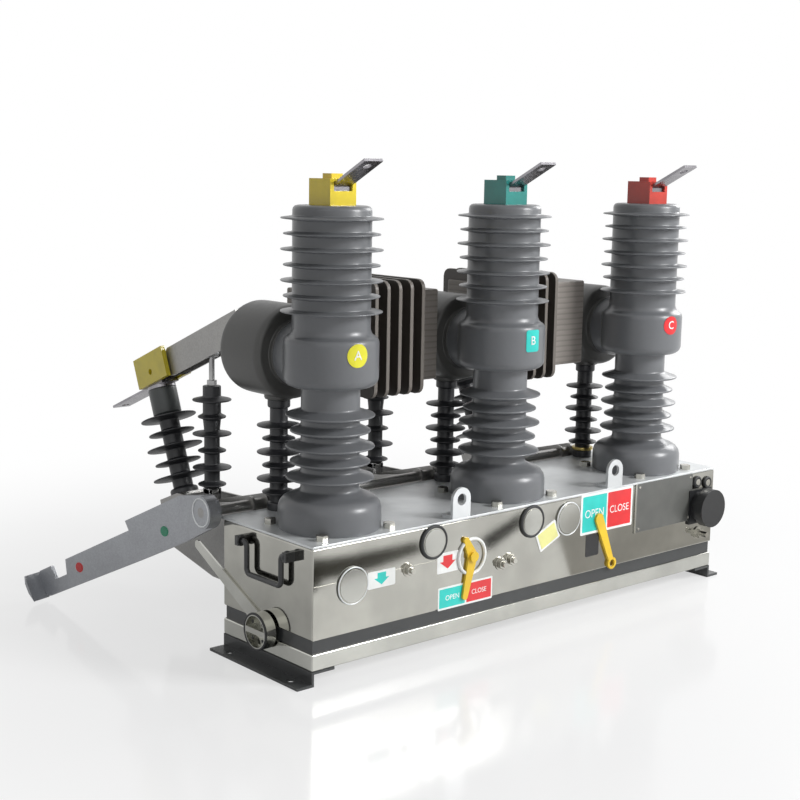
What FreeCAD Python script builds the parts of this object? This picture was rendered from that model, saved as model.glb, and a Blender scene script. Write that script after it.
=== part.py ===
import FreeCAD, Part
import Sketcher
import math
import os
from types import SimpleNamespace

from FreeCAD import Placement, Rotation, Vector

# A three-phase outdoor vacuum recloser with rear isolators, in millimetres.
# X runs along the case, +Y points to the isolators at the back, +Z is up.
# The origin is the middle of the foot-bolt pattern, on the mounting surface.

SIZES = {
    # case
    "case_length": 890.0,
    "case_depth": 216.0,
    "case_top": 200.0,
    "case_sheet": 2.5,
    "tray_bottom": 22.0,
    "tray_top": 46.0,
    "frame_top": 66.0,
    "frame_wall": 18.0,
    "frame_recess": 3.0,
    "fold_width": 24.0,
    "top_sheet": 4.0,
    "rear_overhang": 8.0,
    # feet
    "foot_sheet": 4.0,
    "foot_reach": 25.0,
    "foot_seat": 40.0,
    "foot_hole": 6.5,
    "foot_hole_pitch": 150.0,
    "foot_hole_offset": 11.5,
    # phases
    "phase_pitch": 340.0,
    "phase_middle": -11.7,
    "pole_forward": 25.4,
    # pole housing
    "bell_radius": 75.5,
    "bell_height": 44.0,
    "bell_shoulder": 10.0,
    "neck_radius": 42.4,
    "neck_height": 160.0,
    "waist_radius": 68.5,
    "waist_under": 9.0,
    "waist_height": 63.0,
    "waist_round": 6.0,
    "upper_radius": 56.0,
    "upper_rise": 8.0,
    "upper_height": 175.0,
    "cap_round": 8.0,
    "upper_shed_radius": 72.6,
    "upper_shed_small": 68.8,
    "upper_shed_rise": 25.6,
    "upper_shed_fall": 19.2,
    "lower_shed_radius": 64.0,
    "lower_shed_small": 58.0,
    "lower_shed_rise": 27.6,
    "lower_shed_fall": 42.4,
    "shed_top": 6.0,
    "arm_rise": 30.0,
    "arm_flange_radius": 50.0,
    "arm_flange_reach": 73.4,
    "arm_bore": 26.0,
    "bottle_bore": 40.0,
    "drive_bore": 30.0,
    "roof_thickness": 22.0,
    "stem_radius": 12.0,
    # vacuum bottle and drive
    "bottle_radius": 36.0,
    "bottle_rise": 27.0,
    "bottle_length": 140.0,
    "bottle_stem": 14.0,
    "drive_rod_radius": 16.0,
    "drive_stem_radius": 9.0,
    "slide_gap": 0.08,
    "breaker_shaft_level": 120.0,
    "breaker_shaft_back": 40.0,
    "breaker_shaft_radius": 10.0,
    # top terminals
    "cover_width": 46.0,
    "cover_depth": 48.0,
    "cover_height": 37.0,
    "cover_wall": 4.0,
    "knob_width": 20.0,
    "knob_height": 7.0,
    "bar_width": 32.0,
    "bar_thickness": 4.0,
    "bar_length": 78.0,
    "bar_slope": 27.0,
    "bar_root": 16.0,
    "terminal_hole": 6.5,
    "terminal_edge": 16.0,
    # current transformer arm
    "arm_radius": 70.0,
    "arm_collar": 8.0,
    "arm_length": 124.0,
    "arm_round": 22.0,
    "arm_foot_radius": 22.0,
    "arm_foot_drop": 74.0,
    "side_boss_radius": 32.0,
    "side_boss_reach": 74.0,
    # post insulators under the arms
    "post_back": 99.0,
    "post_core": 13.5,
    "post_shed_radius": 33.0,
    "post_shed_small": 25.0,
    "post_shed_rise": 14.0,
    "post_shed_fall": 29.0,
    "post_foot_radius": 17.0,
    "post_foot_height": 12.0,
    # voltage transformers between the arms
    "block_front": 42.0,
    "block_depth": 140.0,
    "block_under": 59.0,
    "block_over": 83.0,
    "fin_ahead": 20.0,
    "fin_behind": 15.0,
    "fin_proud": 18.0,
    "fin_thickness": 7.0,
    "fin_pitch": 23.3,
    "fin_round": 14.0,
    "fin_last_left": -138.0,
    "fin_last_right": 159.6,
    # isolators
    "blade_gap": 12.42,
    "hinge_level": 372.0,
    "lean": 22.2,
    "hinge_inset": 12.0,
    "hinge_rise": 28.0,
    "pin_radius": 5.0,
    "pin_gap": 0.05,
    "side_gap": 0.4,
    "rear_length": 180.0,
    "rear_core": 16.5,
    "rear_head_radius": 23.5,
    "rear_head_length": 45.0,
    "rear_shed_radius": 46.0,
    "rear_shed_small": 38.0,
    "rear_shed_rise": 18.0,
    "rear_shed_gap": 1.0,
    "rear_foot_radius": 23.0,
    "rear_foot_height": 10.0,
    "cap_thickness": 5.0,
    "tongue_thickness": 4.0,
    "tongue_width": 32.0,
    "tongue_reach": 144.0,
    "tongue_front": 30.0,
    "ear_half": 10.0,
    "ear_radius": 15.0,
    "clamp_front": 60.0,
    "clamp_back": 34.0,
    "clamp_height": 50.0,
    "clamp_half": 23.3,
    "clamp_wall": 7.5,
    "blade_sheet": 3.0,
    "blade_low": 7.0,
    "blade_high": 54.0,
    "blade_length": 262.0,
    "blade_shoulder": 50.0,
    "blade_eye": 16.0,
    "contact_half": 4.0,
    "contact_flange": 24.0,
    "contact_sheet": 3.5,
    "contact_overlap": 38.0,
    "contact_height": 34.0,
    # pull rods
    "rod_along": 155.54,
    "rod_under": 10.55,
    "rod_length": 256.0,
    "rod_eye": 10.0,
    "rod_shank": 4.5,
    "rod_nut": 8.0,
    "rod_iron_top": 55.0,
    "rod_iron_bottom": 34.0,
    "rod_body_upper": 14.5,
    "rod_body_lower": 12.5,
    "rod_shed_radius": 31.0,
    "rod_shed_small": 22.5,
    "rod_shed_rise": 6.0,
    "rod_shed_fall": 24.0,
    "fork_tine": 5.0,
    "fork_end": 9.0,
    # isolator shaft and cranks
    "shaft_back": 130.0,
    "shaft_level": 205.5,
    "shaft_radius": 8.0,
    "crank_half": 6.0,
    "crank_hub": 14.0,
    "slot_width": 14.4,
    "slot_rise": 29.05,
    "slot_side": 1.86,
    "slot_outer": 0.6,
    "slot_inner": 20.1,
    "crank_eye": 16.0,
    # brackets
    "bracket_half": 32.0,
    "bracket_sheet": 4.0,
    "bracket_bottom": 70.0,
    "bracket_seat_half": 28.0,
    "bracket_deep": 74.0,
    "bearing_radius": 13.0,
    # lever
    "lever_gap": 5.5,
    "lever_sheet": 5.0,
    "lever_rest": 27.5,
    "lever_length": 411.0,
    "lever_bend": 192.0,
    "lever_splay": 16.5,
    "lever_hub": 25.0,
    "lever_hub_length": 20.0,
    "hook_depth": 23.0,
    "hook_width": 36.0,
    "hook_tip": 40.0,
    # knob and latch arm
    "knob_back": -2.0,
    "knob_level": 57.0,
    "knob_radius": 27.0,
    "knob_length": 18.0,
    "knob_spindle": 7.0,
    "latch_reach": 196.0,
    "latch_rise": 26.4,
    "latch_half": 7.0,
    "latch_sheet": 3.0,
    # carrying handle
    "handle_level": 178.5,
    "handle_middle": -6.0,
    "handle_half": 41.5,
    "handle_pin_half": 62.0,
    "handle_drop": 46.0,
    "handle_radius": 4.0,
    "handle_bend": 8.0,
    "handle_stand": 9.0,
    "handle_block": 14.0,
    # gaps and seats
    "seat_gap": 0.3,
    "spindle_depth": 12.0,
    "knob_rim": 4.0,
    "knob_floor": 5.0,
    "latch_hub": 12.0,
    # drive inside the case
    "stem_depth": 40.0,
    "shaft_end_gap": 0.3,
    "drive_arm_radius": 12.0,
    "drive_tip_radius": 22.0,
    "drive_arm_half": 6.0,
    "drive_rod_stop": 30.0,
    # small fittings
    "bell_rise": 6.0,
    "bar_seat": 26.0,
    "bar_knee": 20.0,
    "bar_slot_low": 20.0,
    "bar_slot_high": 34.0,
    "rod_nut_height": 9.0,
    "shaft_overhang": 12.0,
    "bracket_clear": 2.0,
    "bracket_knee": 230.0,
    "bracket_top": 190.0,
    "bracket_step": 186.0,
    "bracket_flange": 22.0,
    "lever_neck": 62.0,
    "lever_step": 184.0,
    "lever_crown": 44.0,
    "lever_high": 28.0,
    "lever_low": -22.0,
    "lever_tip_low": -16.0,
    "hook_round": 12.0,
    "lip_width": 34.0,
    # front face
    "front_spindle": 5.0,
    "front_sheet": 4.0,
    "port_one_x": -375.0,
    "port_one_z": 134.0,
    "port_two_x": -222.5,
    "port_two_z": 172.0,
    "port_three_x": -16.0,
    "port_three_z": 172.0,
    "port_four_x": 67.0,
    "port_four_z": 164.0,
    "port_large": 26.0,
    "port_small": 22.0,
    "port_thickness": 3.0,
    "charge_pivot_x": -145.0,
    "charge_pivot_z": 138.0,
    "charge_tip_x": -14.0,
    "charge_drop": 60.0,
    "charge_lift": 27.0,
    "charge_hub": 9.0,
    "charge_half": 5.0,
    "charge_boss": 8.0,
    "handle_pivot_x": 140.0,
    "handle_pivot_z": 153.0,
    "grip_tip_x": 35.0,
    "grip_drop": 80.0,
    "grip_ring": 10.0,
    "grip_hole": 6.0,
    "plug_x": 405.0,
    "plug_z": 137.0,
    "plug_plate": 30.0,
    "plug_neck": 26.0,
    "plug_length": 16.0,
    "plug_radius": 33.0,
    "plug_cap": 16.0,
    "earth_x": 405.0,
    "earth_z": 88.0,
    "earth_washer": 11.0,
    "washer_thickness": 2.0,
    "earth_head": 9.0,
    "earth_height": 7.0,
    "earth_stud": 5.0,
    "earth_reach": 22.0,
    # lifting lugs
    "lug_left": -167.0,
    "lug_right": 179.0,
    "lug_width": 36.0,
    "lug_hole_level": 228.0,
    "lug_hole": 9.0,
    "lug_sheet": 5.0,
    "lug_seat": 24.0,
    # bolts
    "bolt_head": 9.0,
    "bolt_height": 8.0,
    "bolt_offset": 11.0,
    "bolt_turn": 45.0,
}


class Size:
    """A length or an angle with its number and the sheet formula that gives it."""

    def __init__(self, number, text):
        self.number = float(number)
        self.text = text

    def join(self, sign, other, number):
        return Size(number, f"({self.text} {sign} {other.text})")

    def __add__(self, other):
        other = as_size(other)
        return self.join("+", other, self.number + other.number)

    def __sub__(self, other):
        other = as_size(other)
        return self.join("-", other, self.number - other.number)

    def __mul__(self, other):
        other = as_size(other)
        return self.join("*", other, self.number * other.number)

    def __truediv__(self, other):
        other = as_size(other)
        return self.join("/", other, self.number / other.number)

    def __radd__(self, other):
        return as_size(other) + self

    def __rsub__(self, other):
        return as_size(other) - self

    def __rmul__(self, other):
        return as_size(other) * self

    def __neg__(self):
        return 0 - self


def as_size(value):
    """Turn a plain number into a size, and leave a size as it is."""
    return value if isinstance(value, Size) else Size(value, repr(float(value)))


def sine(angle):
    return Size(math.sin(math.radians(angle.number)), f"sin({angle.text} * 1 deg)")


def cosine(angle):
    return Size(math.cos(math.radians(angle.number)), f"cos({angle.text} * 1 deg)")


os.makedirs("parts", exist_ok=True)
doc = FreeCAD.newDocument("recloser")
sheet = doc.addObject("Spreadsheet::Sheet", "sizes")
s = SimpleNamespace()
for row, (name, number) in enumerate(SIZES.items(), start=1):
    sheet.set(f"A{row}", name)
    sheet.set(f"B{row}", str(number))
    sheet.setAlias(f"B{row}", name)
    setattr(s, name, Size(number, f"sizes.{name}"))
doc.recompute()

PIECES = []
PLANE_NORMAL = {"XY_Plane": 1, "XZ_Plane": -1, "YZ_Plane": 1}


def bind(item, path, value):
    """Let a property follow its size."""
    item.setExpression(path, as_size(value).text)


def bind_place(item, corner, turn):
    """Let a whole placement follow sizes: its corner, and a turn given as a sheet formula."""
    texts = "; ".join(f"{value.text} * 1 mm" for value in corner)
    item.setExpression("Placement", f"placement(vector({texts}); {turn})")


def piece(name, place=(0, 0, 0), turn_axis=None, turn=None):
    """Start a body that becomes one piece, at its place and turned if it leans."""
    body = doc.addObject("PartDesign::Body", name)
    body.Label = name
    corner = [as_size(value) for value in place]
    angle = as_size(turn if turn is not None else 0)
    axis = Vector(*(turn_axis or (0, 0, 1)))
    body.Placement = Placement(Vector(*[value.number for value in corner]), Rotation(axis, angle.number))
    for letter, value in zip("xyz", corner):
        bind(body, f"Placement.Base.{letter}", value)
    if turn is not None:
        bind(body, "Placement.Rotation.Angle", angle)
    PIECES.append(body)
    return body


def new_sketch(body, role, offset=0):
    """A sketch on one of the body's own planes, moved along the plane's normal."""
    sketch = body.newObject("Sketcher::SketchObject", f"{body.Name}_sketch")
    plane = next(item for item in body.Origin.OriginFeatures if item.Role == role)
    sketch.AttachmentSupport = (plane, [""])
    sketch.MapMode = "FlatFace"
    bind(sketch, "AttachmentOffset.Base.z", as_size(offset))
    return sketch


def fix_point(sketch, rules, index, end, point):
    """Note the two distances that hold one point of a sketch."""
    for kind, value in zip(("DistanceX", "DistanceY"), point):
        rules.append((Sketcher.Constraint(kind, index, end, value.number), value))


def apply_rules(sketch, rules):
    """Add the constraints in one go and let each measured one follow its size."""
    first = sketch.ConstraintCount
    sketch.addConstraint([rule for rule, value in rules])
    for number, (rule, value) in enumerate(rules, start=first):
        if value is not None:
            bind(sketch, f"Constraints[{number}]", value)


def draw_polygon(sketch, points):
    corners = [(as_size(a), as_size(b)) for a, b in points]
    first = sketch.GeometryCount
    rules = []
    for index, start in enumerate(corners):
        stop = corners[(index + 1) % len(corners)]
        line = Part.LineSegment(
            Vector(start[0].number, start[1].number, 0), Vector(stop[0].number, stop[1].number, 0)
        )
        sketch.addGeometry(line)
    for index, start in enumerate(corners):
        following = first + (index + 1) % len(corners)
        rules.append((Sketcher.Constraint("Coincident", first + index, 2, following, 1), None))
        fix_point(sketch, rules, first + index, 1, start)
    apply_rules(sketch, rules)


def draw_circle(sketch, centre, radius):
    middle = [as_size(value) for value in centre]
    radius = as_size(radius)
    spot = Vector(middle[0].number, middle[1].number, 0)
    index = sketch.addGeometry(Part.Circle(spot, Vector(0, 0, 1), radius.number))
    rules = []
    fix_point(sketch, rules, index, 3, middle)
    rules.append((Sketcher.Constraint("Radius", index, radius.number), radius))
    apply_rules(sketch, rules)


def draw_link(sketch, start, start_radius, stop, stop_radius):
    """Two round ends joined by straight lines that touch both."""
    ends = [[as_size(value) for value in point] for point in (start, stop)]
    radii = [as_size(start_radius), as_size(stop_radius)]
    spots = [Vector(a.number, b.number, 0) for a, b in ends]
    step = spots[1] - spots[0]
    heading = math.atan2(step.y, step.x)
    spread = math.acos((radii[0].number - radii[1].number) / step.Length)
    up, down = heading + spread, heading - spread
    arcs = []
    for spot, radius, begin, end in (
        (spots[0], radii[0], up, down + 2 * math.pi),
        (spots[1], radii[1], down, up),
    ):
        circle = Part.Circle(spot, Vector(0, 0, 1), radius.number)
        arcs.append(sketch.addGeometry(Part.ArcOfCircle(circle, begin, end)))

    def touch(which, angle):
        size = radii[which].number
        return spots[which] + Vector(size * math.cos(angle), size * math.sin(angle), 0)

    lower = sketch.addGeometry(Part.LineSegment(touch(0, down), touch(1, down)))
    upper = sketch.addGeometry(Part.LineSegment(touch(1, up), touch(0, up)))
    rules = []
    for arc, point, radius in zip(arcs, ends, radii):
        fix_point(sketch, rules, arc, 3, point)
        rules.append((Sketcher.Constraint("Radius", arc, radius.number), radius))
    for one, one_end, two, two_end in (
        (arcs[0], 2, lower, 1), (lower, 2, arcs[1], 1), (arcs[1], 2, upper, 1), (upper, 2, arcs[0], 1)
    ):
        rules.append((Sketcher.Constraint("Tangent", one, one_end, two, two_end), None))
    apply_rules(sketch, rules)


def draw_rounded(sketch, left, low, right, high, radius):
    """A box with round corners, drawn anticlockwise from its lower left one."""
    left, low, right, high, radius = [as_size(value) for value in (left, low, right, high, radius)]
    centres = [
        (left + radius, low + radius), (right - radius, low + radius),
        (right - radius, high - radius), (left + radius, high - radius),
    ]
    spots = [Vector(a.number, b.number, 0) for a, b in centres]
    arcs = []
    for turn, spot in enumerate(spots, start=2):
        circle = Part.Circle(spot, Vector(0, 0, 1), radius.number)
        arcs.append(sketch.addGeometry(Part.ArcOfCircle(circle, turn * QUARTER, (turn + 1) * QUARTER)))
    rules = []
    for index, centre in zip(arcs, centres):
        fix_point(sketch, rules, index, 3, centre)
        rules.append((Sketcher.Constraint("Radius", index, radius.number), radius))
    for one, two in zip(arcs, arcs[1:] + arcs[:1]):
        ends = [sketch.Geometry[one].EndPoint, sketch.Geometry[two].StartPoint]
        side = sketch.addGeometry(Part.LineSegment(*ends))
        rules.append((Sketcher.Constraint("Tangent", one, 2, side, 1), None))
        rules.append((Sketcher.Constraint("Tangent", side, 2, two, 1), None))
    apply_rules(sketch, rules)


QUARTER = math.pi / 2
DRAWING = {"polygon": draw_polygon, "rounded": draw_rounded, "disc": draw_circle, "link": draw_link}


def raise_sketch(body, sketch, length, cut=False):
    """Pad or cut from the sketch along its normal."""
    before = body.Shape.Volume if cut else 0
    feature = body.newObject("PartDesign::Pocket" if cut else "PartDesign::Pad", f"{body.Name}_raise")
    feature.Profile = sketch
    feature.Type = "Length"
    feature.Reversed = cut
    bind(feature, "Length", length)
    body.Tip = feature
    doc.recompute([feature, body], True)
    if cut and not body.Shape.Volume < before:
        raise RuntimeError(f"{body.Label}: a cut removes nothing")
    return feature


def start_of(role, low, high):
    """Where a slab from low to high begins along its plane's normal."""
    return low if PLANE_NORMAL[role] > 0 else -as_size(high)


def slab(body, role, shape, low, high, cut=False):
    """Pad or cut outlines between two levels: corner points, a rounded box, a disc or a link."""
    low, high = as_size(low), as_size(high)
    sketch = new_sketch(body, role, start_of(role, low, high))
    for kind, *values in shape:
        DRAWING[kind](sketch, *values)
    doc.recompute([sketch], True)
    return raise_sketch(body, sketch, high - low, cut)


def box_points(left, low, right, high):
    return [(left, low), (right, low), (right, high), (left, high)]


def turned(body, role, points, axis="V_Axis", cut=False):
    """A solid, or a hollow, of revolution about one of the sketch's axes."""
    sketch = new_sketch(body, role)
    draw_polygon(sketch, points)
    kind = "PartDesign::Groove" if cut else "PartDesign::Revolution"
    feature = body.newObject(kind, f"{body.Name}_turn")
    feature.Profile = sketch
    feature.ReferenceAxis = (sketch, [axis])
    feature.Angle = 360
    body.Tip = feature
    doc.recompute([sketch, feature, body], True)
    return feature


def shed_points(cores, radii, low, high):
    """The outline of a row of sheds, evenly spaced: flat under, thin at the rim, thick at the core."""
    pitch = (high - low) / (len(radii) - 1)
    points = []
    for count, (core, radius) in enumerate(zip(cores, radii)):
        level = low + count * pitch
        points += [(core, level), (radius, level), (core, level + s.shed_top)]
    return points


PHASES = {
    "a": s.phase_middle - s.phase_pitch,
    "b": s.phase_middle,
    "c": s.phase_middle + s.phase_pitch,
}
POLE_BACK = -s.pole_forward
CASE_HALF = s.case_length / 2
CASE_BACK = s.case_depth / 2
PLATE_BOTTOM = s.case_top - s.top_sheet
BELL_TOP = s.case_top + s.bell_height
NECK_TOP = BELL_TOP + s.neck_height
WAIST_BOTTOM = NECK_TOP + s.waist_under
WAIST_TOP = WAIST_BOTTOM + s.waist_height
UPPER_START = WAIST_TOP + s.upper_rise
CAP_TOP = UPPER_START + s.upper_height
ARM_LEVEL = WAIST_BOTTOM + s.arm_rise
ARM_START = POLE_BACK + s.arm_flange_reach
ARM_STOP = ARM_START + s.arm_length
BOTTLE_BOTTOM = ARM_LEVEL + s.bottle_rise
HINGE_BACK = ARM_STOP + s.blade_gap + s.blade_length * cosine(s.lean)


def leaned(along, up):
    """A point of the leaning isolator frame, measured from the hinge, as back and level."""
    back = HINGE_BACK + along * cosine(s.lean) + up * sine(s.lean)
    level = s.hinge_level - along * sine(s.lean) + up * cosine(s.lean)
    return back, level


ROD_BACK, ROD_TOP = leaned(-s.rod_along, -s.rod_under)
ROD_BOTTOM = ROD_TOP - s.rod_length


def leaning_piece(name, across):
    """A piece built in the leaning isolator frame, with the hinge at its origin."""
    return piece(name, (across, HINGE_BACK, s.hinge_level), (1, 0, 0), -s.lean)


def hexagon(radius):
    """The corners of a hexagon of the given corner radius."""
    return [
        (radius * math.cos(math.radians(60 * side)), radius * math.sin(math.radians(60 * side)))
        for side in range(6)
    ]


def around(centre, points):
    return [(centre[0] + a, centre[1] + b) for a, b in points]


def build_feet():
    """Two folded feet: a drilled flange on the floor, a web, and a seat under the tray."""
    half = CASE_HALF
    for name, side in (("foot_left", -1), ("foot_right", 1)):
        body = piece(name)
        web = side * half
        outer = side * (half + s.foot_reach)
        inner = side * (half - s.foot_seat)
        inside = side * (half - s.foot_sheet)
        seat_low = s.tray_bottom - s.foot_sheet
        fold = [
            (outer, 0), (inside, 0), (inside, seat_low), (inner, seat_low), (inner, s.tray_bottom),
            (web, s.tray_bottom), (web, s.foot_sheet), (outer, s.foot_sheet),
        ]
        slab(body, "XZ_Plane", [("polygon", fold)], -CASE_BACK, CASE_BACK)
        middle = side * (half + s.foot_hole_offset)
        holes = [("disc", (middle, end * s.foot_hole_pitch / 2), s.foot_hole) for end in (-1, 1)]
        slab(body, "XY_Plane", holes, 0, s.foot_sheet, cut=True)


def frame_ring(body, outset, wall, low, high):
    """A rectangular ring round the case, its outside moved in by outset."""
    across, back = CASE_HALF - outset, CASE_BACK - outset
    outer = [("polygon", box_points(-across, -back, across, back))]
    slab(body, "XY_Plane", outer, low, high)
    across, back = across - wall, back - wall
    slab(body, "XY_Plane", [("polygon", box_points(-across, -back, across, back))], low, high, cut=True)


def build_case():
    """The stainless case: a tray, a dark frame on its fold, the shell and the top plate."""
    tray = piece("base_tray")
    slab(tray, "XY_Plane", [("polygon", box_points(-CASE_HALF, -CASE_BACK, CASE_HALF, CASE_BACK))],
         s.tray_bottom, s.tray_top)
    inside = CASE_HALF - s.case_sheet, CASE_BACK - s.case_sheet
    slab(tray, "XY_Plane", [("polygon", box_points(-inside[0], -inside[1], inside[0], inside[1]))],
         s.tray_bottom + s.case_sheet, s.tray_top - s.case_sheet, cut=True)
    mouth = CASE_HALF - s.fold_width, CASE_BACK - s.fold_width
    slab(tray, "XY_Plane", [("polygon", box_points(-mouth[0], -mouth[1], mouth[0], mouth[1]))],
         s.tray_top - s.case_sheet, s.tray_top, cut=True)

    frame = piece("base_frame")
    frame_ring(frame, s.frame_recess, s.frame_wall, s.tray_top, s.frame_top)
    spindle = [("disc", (s.knob_back, s.knob_level), s.knob_spindle + s.slide_gap)]
    slab(frame, "YZ_Plane", spindle, -CASE_HALF, -CASE_HALF + s.frame_recess + s.frame_wall, cut=True)

    shell = piece("case_shell")
    slab(shell, "XY_Plane", [("polygon", box_points(-CASE_HALF, -CASE_BACK, CASE_HALF, CASE_BACK))],
         s.frame_top, PLATE_BOTTOM)
    slab(shell, "XY_Plane", [("polygon", box_points(-inside[0], -inside[1], inside[0], inside[1]))],
         s.frame_top + s.case_sheet, PLATE_BOTTOM, cut=True)
    slab(shell, "XY_Plane", [("polygon", box_points(-mouth[0], -mouth[1], mouth[0], mouth[1]))],
         s.frame_top, s.frame_top + s.case_sheet, cut=True)
    fronts = [
        ("disc", (s.handle_pivot_x, s.handle_pivot_z), s.front_spindle + s.slide_gap),
        ("disc", (s.charge_pivot_x, s.charge_pivot_z), s.front_spindle + s.slide_gap),
    ]
    slab(shell, "XZ_Plane", fronts, -CASE_BACK, -CASE_BACK + s.case_sheet, cut=True)

    plate = piece("top_plate")
    outline = box_points(-CASE_HALF, -CASE_BACK, CASE_HALF, CASE_BACK + s.rear_overhang)
    slab(plate, "XY_Plane", [("polygon", outline)], PLATE_BOTTOM, s.case_top)
    holes = [("disc", (across, POLE_BACK), s.drive_bore) for across in PHASES.values()]
    slab(plate, "XY_Plane", holes, PLATE_BOTTOM, s.case_top, cut=True)


def build_pole(letter, across):
    """The resin housing: a bell foot, sheds below and above a waist, hollow for the bottle."""
    body = piece(f"pole_housing_{letter}", (across, POLE_BACK, 0))
    lower = [s.lower_shed_radius, s.lower_shed_small] * 2 + [s.lower_shed_radius]
    upper = [s.upper_shed_radius, s.upper_shed_small] * 3 + [s.upper_shed_radius]
    necks, cores = [s.neck_radius] * len(lower), [s.upper_radius] * len(upper)
    outline = [
        (0, s.case_top),
        (s.bell_radius, s.case_top),
        (s.bell_radius, BELL_TOP - s.bell_shoulder),
        (s.bell_radius - s.bell_shoulder, BELL_TOP),
        (s.neck_radius, BELL_TOP + s.bell_rise),
    ]
    outline += shed_points(necks, lower, BELL_TOP + s.lower_shed_rise, NECK_TOP - s.lower_shed_fall)
    outline += [
        (s.neck_radius, NECK_TOP),
        (s.waist_radius - s.waist_round, WAIST_BOTTOM - s.waist_round),
        (s.waist_radius, WAIST_BOTTOM),
        (s.waist_radius, WAIST_TOP),
        (s.upper_radius, UPPER_START),
    ]
    outline += shed_points(cores, upper, UPPER_START + s.upper_shed_rise, CAP_TOP - s.upper_shed_fall)
    outline += [
        (s.upper_radius, CAP_TOP - s.cap_round),
        (s.upper_radius - s.cap_round, CAP_TOP),
        (0, CAP_TOP),
    ]
    turned(body, "XZ_Plane", outline)
    slab(body, "XZ_Plane", [("disc", (0, ARM_LEVEL), s.arm_flange_radius)], 0, s.arm_flange_reach)
    roof = CAP_TOP - s.roof_thickness
    step = BOTTLE_BOTTOM - s.bottle_stem
    hollow = [
        (0, s.case_top), (s.drive_bore, s.case_top), (s.drive_bore, step), (s.bottle_bore, step),
        (s.bottle_bore, roof), (s.stem_radius, roof), (s.stem_radius, CAP_TOP), (0, CAP_TOP),
    ]
    turned(body, "XZ_Plane", hollow, cut=True)
    slab(body, "XZ_Plane", [("disc", (0, ARM_LEVEL), s.arm_bore)], 0, s.arm_flange_reach, cut=True)


def build_interrupters():
    """The three sealed vacuum bottles, each hung by its upper stem in a pole's roof."""
    body = piece("vacuum_interrupters")
    for across in PHASES.values():
        spot = (across, POLE_BACK)
        top = BOTTLE_BOTTOM + s.bottle_length
        slab(body, "XY_Plane", [("disc", spot, s.bottle_radius)], BOTTLE_BOTTOM, top)
        slab(body, "XY_Plane", [("disc", spot, s.stem_radius)], top, CAP_TOP)
        socket = [("disc", spot, s.drive_stem_radius + s.slide_gap)]
        slab(body, "XY_Plane", socket, BOTTLE_BOTTOM, BOTTLE_BOTTOM + s.stem_depth, cut=True)


def build_drive():
    """The shaft inside the case and the three insulated rods that it pushes up and down."""
    shaft = piece("breaker_shaft")
    spot = (s.breaker_shaft_back, s.breaker_shaft_level)
    reach = CASE_HALF - s.case_sheet - s.shaft_end_gap
    slab(shaft, "YZ_Plane", [("disc", spot, s.breaker_shaft_radius)], -reach, reach)
    for across in PHASES.values():
        start = (s.breaker_shaft_back, s.breaker_shaft_level)
        stop = (POLE_BACK, s.breaker_shaft_level)
        arm = [("link", start, s.drive_arm_radius, stop, s.drive_tip_radius)]
        slab(shaft, "YZ_Plane", arm, across - s.drive_arm_half, across + s.drive_arm_half)

    rods = piece("drive_rods")
    foot = s.breaker_shaft_level + s.drive_tip_radius + s.seat_gap
    shoulder = BOTTLE_BOTTOM - s.drive_rod_stop
    tip = BOTTLE_BOTTOM + s.stem_depth - s.seat_gap
    for across in PHASES.values():
        spot = (across, POLE_BACK)
        slab(rods, "XY_Plane", [("disc", spot, s.drive_rod_radius)], foot, shoulder)
        slab(rods, "XY_Plane", [("disc", spot, s.drive_stem_radius)], shoulder, tip)


def build_terminal(letter, across):
    """The coloured cover on a pole, and the slanting copper bar that comes out of it."""
    body = piece(f"terminal_cover_{letter}", (across, POLE_BACK, CAP_TOP))
    half_width, half_depth = s.cover_width / 2, s.cover_depth / 2
    slab(body, "XY_Plane", [("polygon", box_points(-half_width, -half_depth, half_width, half_depth))],
         0, s.cover_height)
    knob = s.knob_width / 2
    slab(body, "XY_Plane", [("polygon", box_points(-knob, -knob, knob, knob))],
         s.cover_height, s.cover_height + s.knob_height)
    inner = half_width - s.cover_wall, half_depth - s.cover_wall
    slab(body, "XY_Plane", [("polygon", box_points(-inner[0], -inner[1], inner[0], inner[1]))],
         0, s.cover_height - s.cover_wall, cut=True)
    slot = s.bar_width / 2 + s.side_gap
    slab(body, "XZ_Plane", [("polygon", box_points(-slot, s.bar_slot_low, slot, s.bar_slot_high))],
         -half_depth, -half_depth + s.cover_wall, cut=True)

    knee = (across, POLE_BACK - s.bar_knee, CAP_TOP + s.bar_seat)
    bar = piece(f"terminal_bar_{letter}", knee, (1, 0, 0), -s.bar_slope)

    def level_point(back, up):
        """A point measured level from the knee, in the frame of the sloping bar."""
        slope = s.bar_slope
        return back * cosine(slope) - up * sine(slope), back * sine(slope) + up * cosine(slope)

    thick = s.bar_thickness
    root = s.bar_knee + s.bar_root
    side = [
        (-s.bar_length, 0), level_point(0, 0), level_point(0, -s.bar_seat), level_point(root, -s.bar_seat),
        level_point(root, thick), (thick * sine(s.bar_slope) / (1 + cosine(s.bar_slope)), thick),
        (-s.bar_length, thick),
    ]
    slab(bar, "YZ_Plane", [("polygon", side)], -s.bar_width / 2, s.bar_width / 2)
    eye = [("disc", (0, -s.bar_length + s.terminal_edge), s.terminal_hole)]
    slab(bar, "XY_Plane", eye, 0, thick, cut=True)


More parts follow.
